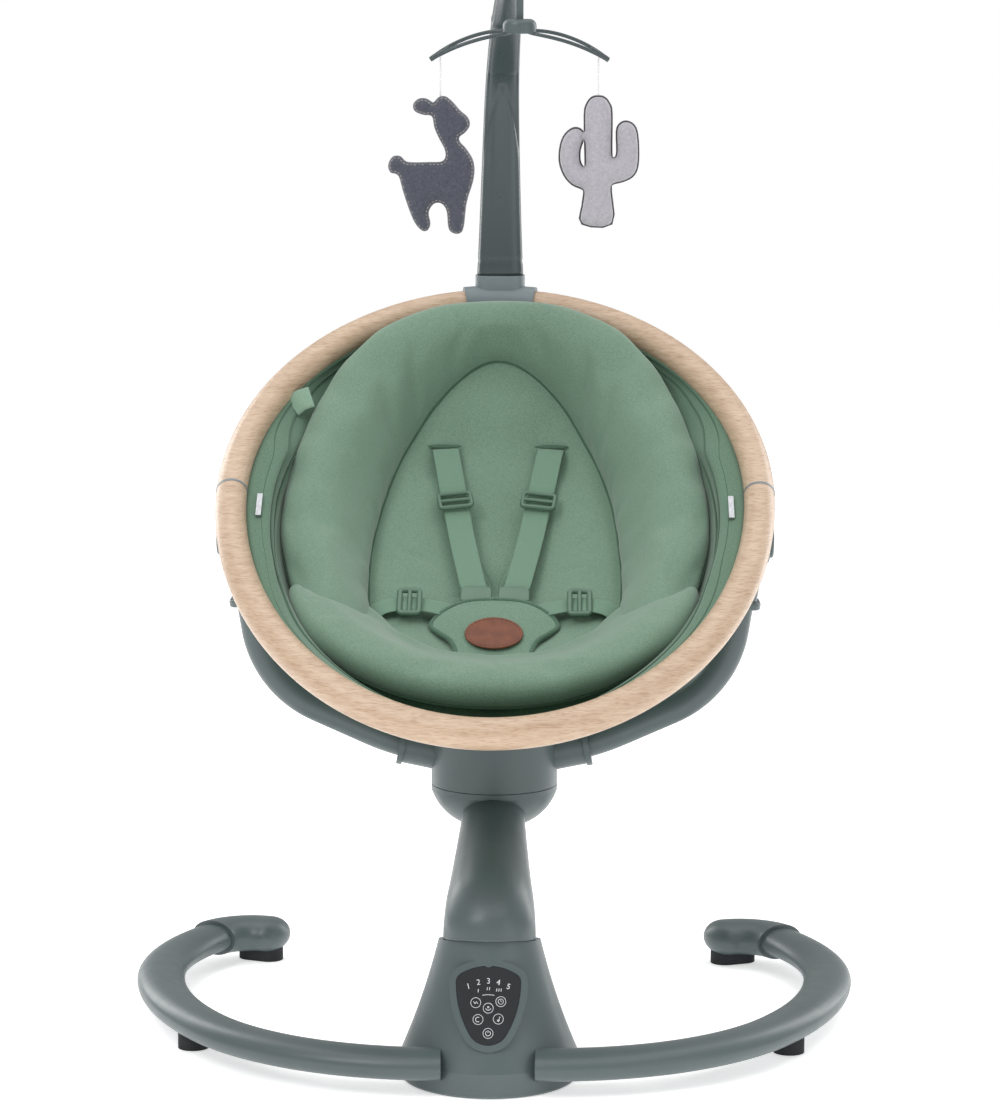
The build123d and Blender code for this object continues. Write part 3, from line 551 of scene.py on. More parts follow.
def make_main_pad():
    columns = 150
    rows = []
    for j in range(columns):
        angle = 2 * math.pi * j / columns
        line, seam_row, _, roll_row = pad_section(angle)
        rows.append([bowl(angle, d, w) for d, w in line])
    by_ring = [[rows[j][i] for j in range(columns)] for i in range(len(rows[0]))]
    ring = len(by_ring)
    verts = [by_ring[0][0]] + [p for row in by_ring[1:-1] for p in row] + [by_ring[-1][0]]
    faces = []
    for j in range(columns):
        k = (j + 1) % columns
        faces.append((0, 1 + j, 1 + k))
        last = 1 + (ring - 3) * columns
        faces.append((len(verts) - 1, last + k, last + j))
        for i in range(ring - 3):
            a, b = 1 + i * columns, 1 + (i + 1) * columns
            faces.append((a + j, b + j, b + k, a + k))
    obj = mesh_object("main_pad", verts, faces)
    work = bmesh.new()
    work.from_mesh(obj.data)
    bmesh.ops.recalc_face_normals(work, faces=work.faces)
    work.to_mesh(obj.data)
    work.free()

    def index(i, j):
        return 1 + (i - 1) * columns + j

    piping_row = roll_row - 4
    held = [0, len(verts) - 1]
    for i in range(1, ring - 1):
        if i in (seam_row, piping_row) or i >= roll_row - 2:
            held += [index(i, j) for j in range(columns)]
    # tufts where the straps go through
    for i in range(1, seam_row):
        for j in range(columns):
            spot = obj.data.vertices[index(i, j)].co
            for side in (-1, 1):
                if (spot - seat(side * 50, 160, -68)).length < 0.022:
                    held.append(index(i, j))
    puff(obj, held, pressure=5.0, cap=0.008)
    piping = [obj.data.vertices[index(piping_row, j)].co.copy() for j in range(columns)]
    middle = seat(0, 0, 60)
    for j in range(columns):
        for i, depth in ((seam_row - 1, 0.0012), (seam_row, 0.0052), (seam_row + 1, 0.0012)):
            vertex = obj.data.vertices[index(i, j)]
            vertex.co -= (middle - vertex.co).normalized() * depth
    for vertex in obj.data.vertices:
        for side in (-1, 1):
            gap = (vertex.co - seat(side * 50, 160, -66)).length
            if gap < 0.05:
                vertex.co -= SEAT_W * 0.007 * (1 - (gap / 0.05) ** 2) ** 2
        ripple = noise.noise(vertex.co * 16) * 0.0022 + noise.noise(vertex.co * 45) * 0.0007
        vertex.co += (middle - vertex.co).normalized() * ripple
    seam = []
    for j in range(columns):
        spot = obj.data.vertices[index(seam_row, j)].co
        seam.append(spot + (middle - spot).normalized() * 0.0026)
    bake(subdivide(obj, 1))
    finish_piece(obj, "seat", "fabric", "fabric", "back_pad")
    thread = cord_tube("pad_seam", smooth_line(seam, 2, True), 0.0014, 8, True)
    finish_piece(thread, "seat", "fabric", "piping")
    trim = cord_tube("pad_piping", smooth_line(piping, 2, True), 0.0013, 8, True)
    finish_piece(trim, "seat", "fabric", "piping")
    return obj


# the front cushion's inner edge and its ridge: share along it, then u, v, w in mm
FRONT_INNER = ((0.0, 174, -80, -32), (0.10, 148, -58, -56), (0.20, 126, -48, -72),
               (0.30, 102, -62, -86), (0.40, 72, -92, -92), (0.50, 0, -108, -94))
FRONT_RIDGE = ((0.0, 175, -82, -30), (0.10, 163, -118, -24), (0.22, 136, -160, -22),
               (0.34, 92, -192, -24), (0.42, 50, -208, -26), (0.50, 0, -213, -27))


def front_point(rows, t):
    side = 1.0
    if t > 0.5:
        t, side = 1 - t, -1.0
    points = smooth_line([row[1:] for row in rows] + [(-rows[-2][1], *rows[-2][2:])], 8)
    keys = [row[0] for row in rows]
    for i in range(len(keys) - 1):
        if t <= keys[i + 1] + 1e-9:
            x = (i + (t - keys[i]) / (keys[i + 1] - keys[i])) * 8
            low = min(int(x), len(points) - 2)
            p = points[low].lerp(points[low + 1], x - low)
            return Vector((side * p[0], p[1], p[2]))
    return Vector((0, rows[-1][2], rows[-1][3]))


def make_front_pad():
    """The raised cushion across the front of the seat, with a piped outer edge."""
    columns = 120
    top, roll, back = 12, 10, 8
    rows = []
    for j in range(columns + 1):
        t = j / columns
        inner = front_point(FRONT_INNER, t)
        ridge = front_point(FRONT_RIDGE, t)
        full = min(1.0, 5.0 * min(t, 1 - t)) ** 0.6
        radius = 3.0 + 14.5 * full
        out = Vector((ridge[0] / BOWL_A ** 2, ridge[1] / BOWL_B ** 2, 0)).normalized()
        row = []
        for i in range(top + 1):
            s = i / top
            p = inner.lerp(ridge + Vector((0, 0, radius * 0.6)) - out * radius * 0.75, s)
            d = math.hypot(p[0] / BOWL_A, p[1] / BOWL_B)
            base = pad_inside(min(d, 0.85))
            lift = (9.0 + 9.0 * full) * min(1.0, s * 7) ** 0.5 * full
            p[2] = max(p[2], base + lift)
            row.append(p)
        for i in range(1, roll + 1):
            a = math.radians(140 - i * 220 / roll)
            row.append(ridge + out * radius * math.cos(a) + Vector((0, 0, radius * math.sin(a))))
        low = row[-1]
        for i in range(1, back):
            s = i / back
            p = low.lerp(inner, s)
            d = math.hypot(p[0] / BOWL_A, p[1] / BOWL_B)
            p[2] = min(p[2], pad_inside(min(d, PAD_REACH - 0.01)) - 4 * full)
            p[2] = max(p[2], pad_outside(min(d, 0.99)) + 2)
            row.append(p)
        rows.append([seat(*p) for p in row])
    obj = skin("front_pad", rows, True, True)
    around = len(rows[0])
    piping_at = top + 8
    held = []
    for vertex in obj.data.vertices:
        held_here = False
        if vertex.index < (columns + 1) * around:
            i, j = vertex.index % around, vertex.index // around
            held_here = i == 0 or i >= piping_at or j < 2 or j > columns - 2
        if held_here:
            held.append(vertex.index)
    piping = [rows[j][piping_at] for j in range(columns + 1)]
    puff(obj, held, pressure=4.0, cap=0.005)
    for vertex in obj.data.vertices:
        wrinkle = noise.noise(Vector((vertex.co.x * 40, vertex.co.y * 14, vertex.co.z * 14)))
        vertex.co += SEAT_W * (wrinkle * 0.0014)
    bake(subdivide(obj, 1))
    finish_piece(obj, "seat", "fabric", "fabric", "seat_pad")
    trim = cord_tube("front_piping", smooth_line(piping, 2), 0.0015, 8)
    finish_piece(trim, "seat", "fabric", "piping")


RING_A, RING_HEAD, RING_FOOT, RING_WIDEST, RING_R = 236.0, 284.0, 314.0, 15.0, 13.75


def ring_point(angle, inset=0.0, w=0.0):
    """A point along the ring by angle from the head, drawn in by an inset."""
    reach = RING_HEAD if math.cos(angle) > 0 else RING_FOOT
    u = RING_A * math.sin(angle)
    v = reach * math.cos(angle)
    normal = Vector((u / RING_A ** 2, v / reach ** 2)).normalized()
    return Vector((u - normal[0] * inset, RING_WIDEST + v - normal[1] * inset, w))


LINER_A, LINER_B, LINER_C = 202.5, 266.5, 137.5
RIM_W = -3.0


def liner_point(angle, depth):
    """A point of the fabric bowl by angle from the head and depth below the rail's inside."""
    start = ring_point(angle, RING_R - 0.6, RIM_W)
    theta = math.atan2(start[0] / LINER_A, start[1] / LINER_B)
    turn = abs(math.degrees(theta))
    fall = table(((0, 62), (35, 58), (58, 30), (76, 6), (104, 6), (130, 22), (180, 34)), turn)[0]
    w = RIM_W - depth
    share = math.sqrt(max(0.0, 1 - (w / LINER_C) ** 2))
    low = Vector((LINER_A * share * math.sin(theta), LINER_B * share * math.cos(theta), w))
    t = min(1.0, depth / fall)
    steep = t * t * (3 - 2 * t)
    shelf = 1 - (1 - t) ** 3.2
    blend = min(1.0, max(0.0, (turn - 50) / 22))
    t = steep + (shelf - steep) * blend
    out = Vector((start[0], start[1], w))
    return out.lerp(low, t), theta


def make_liner():
    """The fabric bowl: from the rail, with gathered folds under the rim, down and round."""
    columns = 240
    depths = [0.0, 0.4, 0.9, 1.5, 2.2, 3.0, 4.0, 5.2, 6.6, 8.2, 10, 12, 14, 16.2, 18.5, 21, 24,
              27, 30, 33.5, 37, 41, 46, 52, 59, 67, 76, 86, 96, 106, 115, 122, 128, 131.5]
    rings = []
    for depth in depths:
        ring = []
        for j in range(columns):
            angle = 2 * math.pi * j / columns
            p, theta = liner_point(angle, depth)
            fade = math.exp(-((depth - 16) / 13) ** 2)
            fold = math.sin(depth * 0.62 + 1.4 * math.sin(theta * 2 + 0.5)) * fade
            fold *= 0.55 + 0.45 * math.sin(theta * 3 + 1.0)
            inward = Vector((-p[0], -p[1], 0)).normalized()
            ring.append(seat(*(p + inward * (2.4 * fold))))
        rings.append(ring)
    rings.append([seat(0, 0, -LINER_C)] * columns)
    obj = skin("seat_liner", rings)
    thick = obj.modifiers.new("thick", "SOLIDIFY")
    thick.thickness = 0.0024
    thick.offset = 0.0
    bake(obj)
    finish_piece(obj, "seat", "fabric", "liner",
                 "seat_shell", "seat_rim")
    for name, depth, out in (("liner_piping_low", 52, 3.4), ("liner_piping_rim", 7.5, -1.8),
                             ("liner_piping_edge", 1.6, -1.4), ("liner_piping_mid", 19, -1.8)):
        line = []
        for j in range(columns):
            p, _ = liner_point(2 * math.pi * j / columns, depth)
            outward = Vector((p[0], p[1], 0)).normalized()
            line.append(seat(*(p + outward * out)))
        trim = cord_tube(name, line, 0.0011, 8, True)
        finish_piece(trim, "seat", "fabric", "piping")


# ---- harness -----------------------------------------------------------------------
def ribbon(name, line, width, thick, facing, steps=10):
    """A flat woven strap along control points in the seat's frame; facing is its outer side."""
    points = smooth_line([seat(*p) for p in line], steps)
    up = (SEAT_U * facing[0] + SEAT_V * facing[1] + SEAT_W * facing[2]).normalized()
    across_steps = 8
    rows, uvs = [], []
    run = 0.0
    for i, p in enumerate(points):
        ahead = points[min(i + 1, len(points) - 1)]
        behind = points[max(i - 1, 0)]
        along = (ahead - behind).normalized()
        side = along.cross(up).normalized()
        normal = side.cross(along).normalized()
        run += (p - behind).length if i else 0
        row = []
        for k in range(across_steps + 1):
            s = k / across_steps * 2 - 1
            edge = 1 - 0.55 * abs(s) ** 8
            row.append(p + side * s * width / 2 * MM + normal * thick / 2 * edge * MM)
        for k in range(across_steps, -1, -1):
            s = k / across_steps * 2 - 1
            edge = 1 - 0.55 * abs(s) ** 8
            row.append(p + side * s * width / 2 * MM - normal * thick / 2 * edge * MM)
        rows.append(row)
        uvs.append([(s / across_steps * width * MM, run) for s in
                    [*range(across_steps + 1), *range(across_steps, -1, -1)]])
    obj = skin(name, rows, True, True)
    flat = [uv for row in uvs for uv in row]
    layer = obj.data.uv_layers.new(name="strap")
    for loop in obj.data.loops:
        if loop.vertex_index < len(flat):
            layer.data[loop.index].uv = flat[loop.vertex_index]
    return obj


def rounded_frame(name, centre, x_dir, normal, width, height, bar, depth, cross=True):
    """A moulded strap adjuster: a rounded frame with a cross bar."""
    y_dir = normal.cross(x_dir).normalized()
    parts = []

    def loop(half_w, half_h, radius, thick):
        points = []
        for corner, (sx, sy) in enumerate(((1, 1), (-1, 1), (-1, -1), (1, -1))):
            for step in range(5):
                a = math.radians(corner * 90 + step * 22.5)
                points.append(centre + x_dir * (sx * (half_w - radius) + radius * math.cos(a)) * MM
                              + y_dir * (sy * (half_h - radius) + radius * math.sin(a)) * MM)
        return cord_tube(name, points, thick * MM, 10, True, depth)

    frame_piece = loop(width / 2 - bar, height / 2 - bar, 3.0, bar)
    parts.append(frame_piece)
    if cross:
        a = centre - x_dir * (width / 2 - bar) * MM
        b = centre + x_dir * (width / 2 - bar) * MM
        parts.append(cord_tube(name + "_bar", smooth_line([a, (a + b) / 2, b], 6), bar * 0.8 * MM,
                               10))
    return join(parts)


def join(parts):
    """Make one piece of several, each where it is."""
    first = parts[0]
    work = bmesh.new()
    for part in parts:
        work.from_mesh(part.data)
    work.to_mesh(first.data)
    work.free()
    for part in parts[1:]:
        bpy.data.objects.remove(part)
    first.data.polygons.foreach_set("use_smooth", [True] * len(first.data.polygons))
    return first


def slab(name, outline, plane, low, high, soft, steps=3):
    """A flat shape with softly rounded edges: outline in mm on plane(x, y, height)."""
    outline = [Vector((p[0], p[1])) for p in outline]
    n = len(outline)
    centre = sum(outline, Vector((0, 0))) / n
    rows = []

    def ring(inset, height):
        out = []
        for i, p in enumerate(outline):
            along = outline[(i + 1) % n] - outline[i - 1]
            normal = Vector((along[1], -along[0]))
            normal = normal.normalized() if normal.length else (p - centre).normalized()
            if normal.dot(p - centre) < 0:
                normal = -normal
            q = p - normal * inset
            out.append(plane(q[0], q[1], height))
        return out

    rows.append(ring(soft, low))
    for k in range(1, steps + 1):
        a = math.pi / 2 * k / steps
        rows.append(ring(soft * (1 - math.sin(a)), low + soft * (1 - math.cos(a))))
    for k in range(steps + 1):
        a = math.pi / 2 * k / steps
        rows.append(ring(soft * (1 - math.cos(a)), high - soft * (1 - math.sin(a))))
    return skin(name, rows, True, True)


def make_harness():
    straps = []
    for side, name in ((-1, "left"), (1, "right")):
        upper = [(side * 50, 166, -80), (side * 50, 160, -68), (side * 48, 148, -64),
                 (side * 41, 105, -72), (side * 35, 70, -80)]
        lower = [(side * 42, 112, -70), (side * 38, 88, -74), (side * 32, 50, -80),
                 (side * 22, -5, -84), (side * 15.5, -34, -86)]
        straps.append(ribbon(f"shoulder_strap_{name}", upper, 25, 1.5, (0, 0.35, 1)))
        straps.append(ribbon(f"shoulder_strap_low_{name}", lower, 24, 1.5, (0, 0.2, 1)))
        waist = [(side * 116, -66, -84), (side * 100, -58, -73), (side * 74, -54, -72),
                 (side * 48, -52, -79), (side * 35, -52, -84)]
        straps.append(ribbon(f"waist_strap_{name}", waist, 21, 1.5, (0, 0.1, 1)))
    for strap in straps:
        subdivide(strap, 1)
    for strap in straps:
        node = ("shoulder_straps",) if strap.name.startswith("shoulder") else ("waist_straps",)
        finish_piece(strap, "seat", "webbing", "webbing", *node)
    for side, name in ((-1, "left"), (1, "right")):
        along = (seat(side * 32, 50, -80) - seat(side * 42, 112, -70)).normalized()
        normal = (SEAT_W - along * SEAT_W.dot(along)).normalized()
        across = along.cross(normal)
        clip = rounded_frame(f"shoulder_adjuster_{name}", seat(side * 38.5, 88, -69.5), across,
                             normal, 34, 21, 2.3, 0.9)
        finish_piece(clip, "seat", "plastic", "green_plastic", "strap_adjusters")
        across = SEAT_V
        clip = rounded_frame(f"waist_adjuster_{name}", seat(side * 76, -54, -69.5), across, SEAT_W,
                             36, 23, 2.7, 0.9)
        finish_piece(clip, "seat", "plastic", "green_plastic")
        slot = slab(f"strap_slot_{name}", oval_outline(16, 2.6, 24),
                    lambda x, y, h, s=side: seat(s * 50 + x, 163 + y, -66.5 + h), 0, 1.2, 0.6)
        finish_piece(slot, "seat", "fabric", "piping")


def oval_outline(half_w, half_h, count):
    return [(half_w * math.cos(2 * math.pi * i / count), half_h * math.sin(2 * math.pi * i / count))
            for i in range(count)]


def crotch_outline():
    """Half-round shoulders, drawn in towards the seat."""
    right = [(0, 15), (24, 14), (40, 8), (53, -3), (57, -14), (50, -24), (39, -36), (34, -50),
             (33, -64)]
    line = smooth_line([(*p, 0) for p in right], 5)
    points = [(p[0], p[1]) for p in line]
    return points + [(-x, y) for x, y in reversed(points)][:-1]


def make_buckle():
    outline = crotch_outline()

    def plane(x, y, h):
        droop = -0.012 * max(0.0, -y - 20) ** 1.5 - 0.0022 * x * x
        return seat(x, -61 + y, -79.2 + h + droop)

    pad = slab("crotch_pad_cover", outline, plane, 0, 6.5, 3.0, 5)
    finish_piece(pad, "seat", "fabric", "fabric", "crotch_pad")
    edge = [plane(x * 0.985, y * 0.985, 5.2) for x, y in outline]
    binding = cord_tube("crotch_binding", edge, 0.0024, 10, True)
    finish_piece(binding, "seat", "fabric", "piping_light")
    badge = slab("badge", oval_outline(26, 19.5, 64),
                 lambda x, y, h: plane(x, -31 + y, 6.4 + h), 0, 2.0, 0.9, 4)
    finish_piece(badge, "seat", "fabric", "leather")
    stitch = [plane(x, -31 + y, 8.3) for x, y in oval_outline(23.6, 17.2, 56)]
    finish_piece(dashes("badge_stitch", stitch, 0.0028, 0.0012, 0.00028), "seat", "fabric",
                 "leather_stitch")
    top = BUCKLE_TOP
    outline = [(-36.5, -18), (-36.5, 12), (-30, 20), (-18, 24), (0, 25), (18, 24), (30, 20),
               (36.5, 12), (36.5, -18), (24, -21), (0, -22), (-24, -21)]
    shape = [(p[0], p[1]) for p in smooth_line([(*p, 0) for p in outline], 4, True)]
    body = slab("buckle_shell", shape, lambda x, y, h: seat(x, -58 + y, top - 15 + h), 0, 15,
                2.5, 4)
    finish_piece(body, "seat", "plastic", "green_plastic", "buckle_body")
    for side, name in ((-1, "left"), (1, "right")):
        tongue = slab(f"buckle_tongue_{name}",
                      [(-14, -8), (-14, 9), (-9, 12), (9, 12), (14, 9), (14, -8)],
                      lambda x, y, h, s=side: seat(s * 17 + x, -33 + y, top - 5 + h), 0, 6.5, 1.6)
        finish_piece(tongue, "seat", "plastic", "green_plastic")


BUCKLE_TOP = -80.0


def dashes(name, points, length, gap, radius):
    """Sewing stitches: short threads laid along a line."""
    verts, faces = [], []
    path = [Vector(p) for p in points]
    walked, threads, start = 0.0, [], path[0]
    on = True
    for a, b in zip(path, path[1:] + path[:1]):
        leg = (b - a).length
        done = 0.0
        while leg - done > 1e-9:
            need = (length if on else gap) - walked
            if leg - done < need:
                walked += leg - done
                break
            done += need
            point = a.lerp(b, done / leg)
            if on:
                threads.append((start, point))
            start, on, walked = point, not on, 0.0
    for a, b in threads:
        along = (b - a).normalized()
        one = along.orthogonal().normalized()
        two = along.cross(one)
        base = len(verts)
        for t, r in ((0.0, 0.35), (0.2, 0.9), (0.5, 1.1), (0.8, 0.9), (1.0, 0.35)):
            for k in range(6):
                angle = k * math.pi / 3
                verts.append(a.lerp(b, t) + (one * math.cos(angle) + two * math.sin(angle))
                             * radius * r)
        for i in range(4):
            for k in range(6):
                q = (k + 1) % 6
                faces.append((base + i * 6 + k, base + i * 6 + q, base + (i + 1) * 6 + q,
                              base + (i + 1) * 6 + k))
        faces.append(tuple(base + k for k in range(5, -1, -1)))
        faces.append(tuple(base + 24 + k for k in range(6)))
    return mesh_object(name, verts, faces)


def make_tag():
    """A small blank cloth tab sewn in the seam at the sitter's right."""
    line = [(-190, 146, -6), (-182, 149, -1), (-172, 152, 1)]
    tag = ribbon("side_tag", line, 22, 0.9, (0.3, -0.3, 1), 6)
    finish_piece(tag, "seat", "fabric", "tag")


# ---- neck and toy bar --------------------------------------------------------------
def make_neck():
    """The leaning neck, round at the base and oval where it enters the hub."""
    top_y, top_z, hub_y, seam_z = -7.0, 120.0, 215.0, 210.0
    stations = [(0.0, 0.6 / (seam_z - top_z), 9.8, 39.5, 39.5),
                (0.02, 0.16, 20.0, 39.0, 38.9), (0.11, 0.30, 38.0, 37.5, 37.0),
                (0.27, 0.43, 53.0, 34.5, 32.5), (0.53, 0.60, 66.0, 31.0, 26.0),
                (0.82, 0.75, 71.0, 28.0, 21.0)]
    line = smooth_line([s[:3] for s in stations], 9)
    sizes = smooth_line([(s[3], s[4], 0) for s in stations], 9)
    rows = []
    for (along_y, along_z, lean), (half_w, half_h, _) in zip(line, sizes):
        centre = Vector((0, top_y + (hub_y - top_y) * along_y, top_z + (seam_z - top_z) * along_z))
        up = Vector((0, -math.cos(math.radians(lean)), math.sin(math.radians(lean))))
        row = []
        for k in range(64):
            a = 2 * math.pi * k / 64
            row.append((centre + Vector((1, 0, 0)) * half_w * math.cos(a)
                        - up * half_h * math.sin(a)) * MM)
        rows.append(row)
    lip = []
    for p in rows[0]:
        centre = Vector((0, top_y, top_z + 0.6)) * MM
        lip.append(centre + (p - centre) * 0.97)
    rows.insert(0, lip)
    obj = skin("neck_shell", rows, True, True)
    finish_piece(obj, "swing_arm", "plastic", "plastic", "neck")


BAR_Y, BAR_Z, BAR_REACH, BAR_RISE = 455.0, 655.6, 227.0, 283.0


def bar_place(p):
    """A point of the toy bar, at the small turn it is stored at."""
    turn = Matrix.Rotation(math.radians(5.0), 3, "Z")
    axis = Vector((0, BAR_Y, 0))
    return (turn @ (Vector(p) - axis) + axis) * MM


def make_toy_bar():
    """The arching bar: a pointed front plate below, a grooved spar above, two knuckles."""
    knots = [(0, BAR_Y, BAR_Z), (0, BAR_Y - 0.05 * BAR_REACH, BAR_Z + 0.55 * BAR_RISE),
             (0, BAR_Y - 0.42 * BAR_REACH, BAR_Z + 0.9 * BAR_RISE),
             (0, BAR_Y - BAR_REACH - 8, BAR_Z + BAR_RISE)]
    pulls = [(0, 0, 150), (0, -25, 120), (0, -130, 70), (0, -150, 8)]
    line = []
    for (a, b), (pa, pb) in zip(zip(knots, knots[1:]), zip(pulls, pulls[1:])):
        a, b, pa, pb = Vector(a), Vector(b), Vector(pa), Vector(pb)
        for step in range(48):
            t = step / 48
            line.append(a * (2 * t ** 3 - 3 * t ** 2 + 1) + pa * (t ** 3 - 2 * t ** 2 + t)
                        + b * (3 * t ** 2 - 2 * t ** 3) + pb * (t ** 3 - t ** 2))
    line.append(Vector(knots[-1]))
    total = sum((b - a).length for a, b in zip(line, line[1:]))
    walked = 0.0
    rows = []
    count = 88
    for i, p in enumerate(line):
        walked += (p - line[i - 1]).length if i else 0
        t = walked / total
        ahead = line[min(i + 1, len(line) - 1)]
        behind = line[max(i - 1, 0)]
        along = (ahead - behind).normalized()
        front = Vector((1, 0, 0)).cross(along).normalized()
        if front.y > 0:
            front = -front
        width = 44 - 25 * t ** 0.8
        depth = 30 - 16 * t
        knuckle = sum(math.exp(-((t - at) / 0.006) ** 2) for at in (0.60, 0.80))
        grow = 1 + 0.045 * knuckle
        plate = 1.0 if t < 0.22 else max(0.0, 1 - ((t - 0.22) / 0.22) ** 1.7)
        row = []
        for k in range(count):
            a = 2 * math.pi * (k + 0.5) / count
            c, s = math.cos(a), math.sin(a)
            x = math.copysign(abs(c) ** 0.62, c) * width / 2 * grow
            y = math.copysign(abs(s) ** 0.62, s) * depth / 2 * grow
            if y > 0 and t > 0.2:
                edge = abs(x) / (width / 2)
                inside = max(0.0, min(1.0, (plate - edge) / 0.10 + 0.5))
                hollow = 2.6 * (1 - inside) * min(1.0, (0.98 - edge) / 0.15 if edge < 0.98 else 0)
                hollow *= 0.55 if t > 0.46 else 1.0
                y -= max(0.0, hollow) * (1 - min(1, knuckle))
                if t > 0.40 and edge < 0.06:
                    y -= 0.7 * (1 - min(1, knuckle))
            if 0.028 < t < 0.036:
                x, y = x * 0.975, y * 0.97
            row.append(bar_place(p + Vector((x, 0, 0)) + front * y))
        rows.append(row)
    end = rows[-1]
    middle = sum(end, Vector()) / len(end)
    for share, push in ((0.9, 0.8), (0.72, 1.5), (0.4, 2.0)):
        rows.append([middle + (p - middle) * share
                     + (bar_place(line[-1]) - bar_place(line[-2])).normalized() * push * MM
                     for p in end])
    obj = skin("toy_bar_shell", rows, True, True)
    finish_piece(obj, "bar", "plastic", "bar_plastic", "toy_bar")


# ---- toys --------------------------------------------------------------------------
TOY_Y = 0.2289
STRING_LOW = 0.8264
LLAMA = ((0, 0), (5, 0), (12, -6), (17, -12), (24, -18), (26, -25), (21, -32), (16, -35),
         (17, -40), (22, -45), (28, -54), (30, -62), (29, -74), (23, -94), (19.5, -119),
         (8.5, -118), (6.5, -102), (3, -95), (-2, -93), (-7, -95), (-11, -103), (-9, -113),
         (-14, -119), (-23, -110), (-32, -86), (-37, -69), (-44, -67), (-46, -60), (-42, -53),
         (-35, -53), (-30, -58), (-9, -58), (3, -57), (5, -48), (0, -38), (-5, -27), (-7, -16),
         (-13, -16), (-22, -13), (-24, -7), (-19, -2), (-12, -2), (-6, -6), (-3, -2))


def toy_body(name, shapes, at_x, voxel=0.0016, round_by=4.5):
    """A stuffed flat toy: shapes joined, softened and filled out towards its middle."""
    parts = []
    for shape in shapes:
        curve = bpy.data.curves.new(name, "CURVE")
        curve.dimensions = "2D"
        curve.fill_mode = "BOTH"
        curve.extrude = 4.2 * MM
        curve.bevel_depth = round_by * MM
        curve.bevel_resolution = 3
        curve.offset = -round_by * MM * 0.9
        spline = curve.splines.new("POLY")
        spline.points.add(len(shape) - 1)
        for point, (x, z) in zip(spline.points, shape):
            point.co = (x * MM, z * MM, 0, 1)
        spline.use_cyclic_u = True
        obj = bpy.data.objects.new(name + "_shape", curve)
        SCENE.collection.objects.link(obj)
        bpy.context.view_layer.update()
        mesh = bpy.data.meshes.new_from_object(
            obj.evaluated_get(bpy.context.evaluated_depsgraph_get()))
        bpy.data.objects.remove(obj)
        part = bpy.data.objects.new(name, mesh)
        SCENE.collection.objects.link(part)
        parts.append(part)
    body = join(parts) if len(parts) > 1 else parts[0]
    body.name = name
    remesh = body.modifiers.new("voxel", "REMESH")
    remesh.mode = "VOXEL"
    remesh.voxel_size = voxel
    soften = body.modifiers.new("soften", "SMOOTH")
    soften.factor = 0.6
    soften.iterations = 4
    bake(body)
    outline = [Vector((x, z)) * MM for shape in shapes for x, z in shape]
    for vertex in body.data.vertices:
        x, z, y = vertex.co
        near = min((Vector((x, z)) - p).length for p in outline)
        fill = min(1.0, near / 0.011)
        y *= 0.80 + 0.42 * fill * (2 - fill)
        y += noise.noise(Vector((x, z, 0)) * 60) * 0.0007
        vertex.co = (at_x + x, TOY_Y - y, STRING_LOW + z)
    tidy(body)
    return body


def make_toys():
    half = 0.070
    centre = 0.0198
    left, right = centre - half, centre + half
    outline = [(p[0], p[1]) for p in smooth_line([(*p, 0) for p in LLAMA], 3, True)]
    llama = toy_body("llama_felt", [outline], left)
    finish_piece(llama, "llama_toy", "felt_dark", "felt_dark", "llama")
    for face, side in (("front", -1), ("back", 1)):
        seam = inset(outline, 1.6)
        points = [Vector((left + x * MM, TOY_Y + side * 0.0074, STRING_LOW + z * MM))
                  for x, z in seam]
        finish_piece(dashes(f"llama_stitch_{face}", snap(points, llama, side), 0.0022, 0.0012,
                            0.00032), "llama_toy", "string", "stitch")
    trunk = [(-9, -6), (-5, -1), (0, 0), (5, -1), (9, -6), (11, -14), (11, -48), (12.5, -54),
             (16, -54), (18, -48), (17.5, -30), (20, -24), (25, -22), (31, -25), (34, -33),
             (35, -50), (34, -62), (30, -69), (22, -73), (12, -76), (11, -84), (12, -111),
             (-13, -111), (-12.5, -96), (-11, -84), (-13, -80), (-22, -76), (-29, -68),
             (-33, -56), (-32, -42), (-28, -33), (-21, -28), (-15, -30), (-14, -36),
             (-17, -46), (-17, -56), (-14, -62), (-10.5, -62), (-10, -56), (-11, -16)]
    outline = [(p[0], p[1]) for p in smooth_line([(*p, 0) for p in trunk], 3, True)]
    cactus = toy_body("cactus_felt", [outline], right)
    finish_piece(cactus, "cactus_toy", "felt_light", "felt_light", "cactus")
    edge = [(right + x * MM, TOY_Y, STRING_LOW + z * MM) for x, z in inset(outline, -0.5)]
    piping = cord_tube("cactus_piping", edge, 0.0015, 8, True)
    finish_piece(piping, "cactus_toy", "felt_dark", "piping_dark")
    for name, x, body in (("llama", left, "llama_toy"), ("cactus", right, "cactus_toy")):
        curve = bpy.data.curves.new(name + "_cord", "CURVE")
        curve.dimensions = "3D"
        curve.bevel_depth = 0.0007
        curve.bevel_resolution = 3
        spline = curve.splines.new("NURBS")
        route = (STRING_LOW + 0.035, STRING_LOW + 0.0175, STRING_LOW)
        spline.points.add(len(route) - 1)
        for point, z in zip(spline.points, route):
            point.co = (x, TOY_Y, z, 1)
        spline.order_u = 3
        spline.use_endpoint_u = True
        cord = bpy.data.objects.new(name + "_cord", curve)
        SCENE.collection.objects.link(cord)
        finish_piece(cord, body, "string", "string", name + "_string")


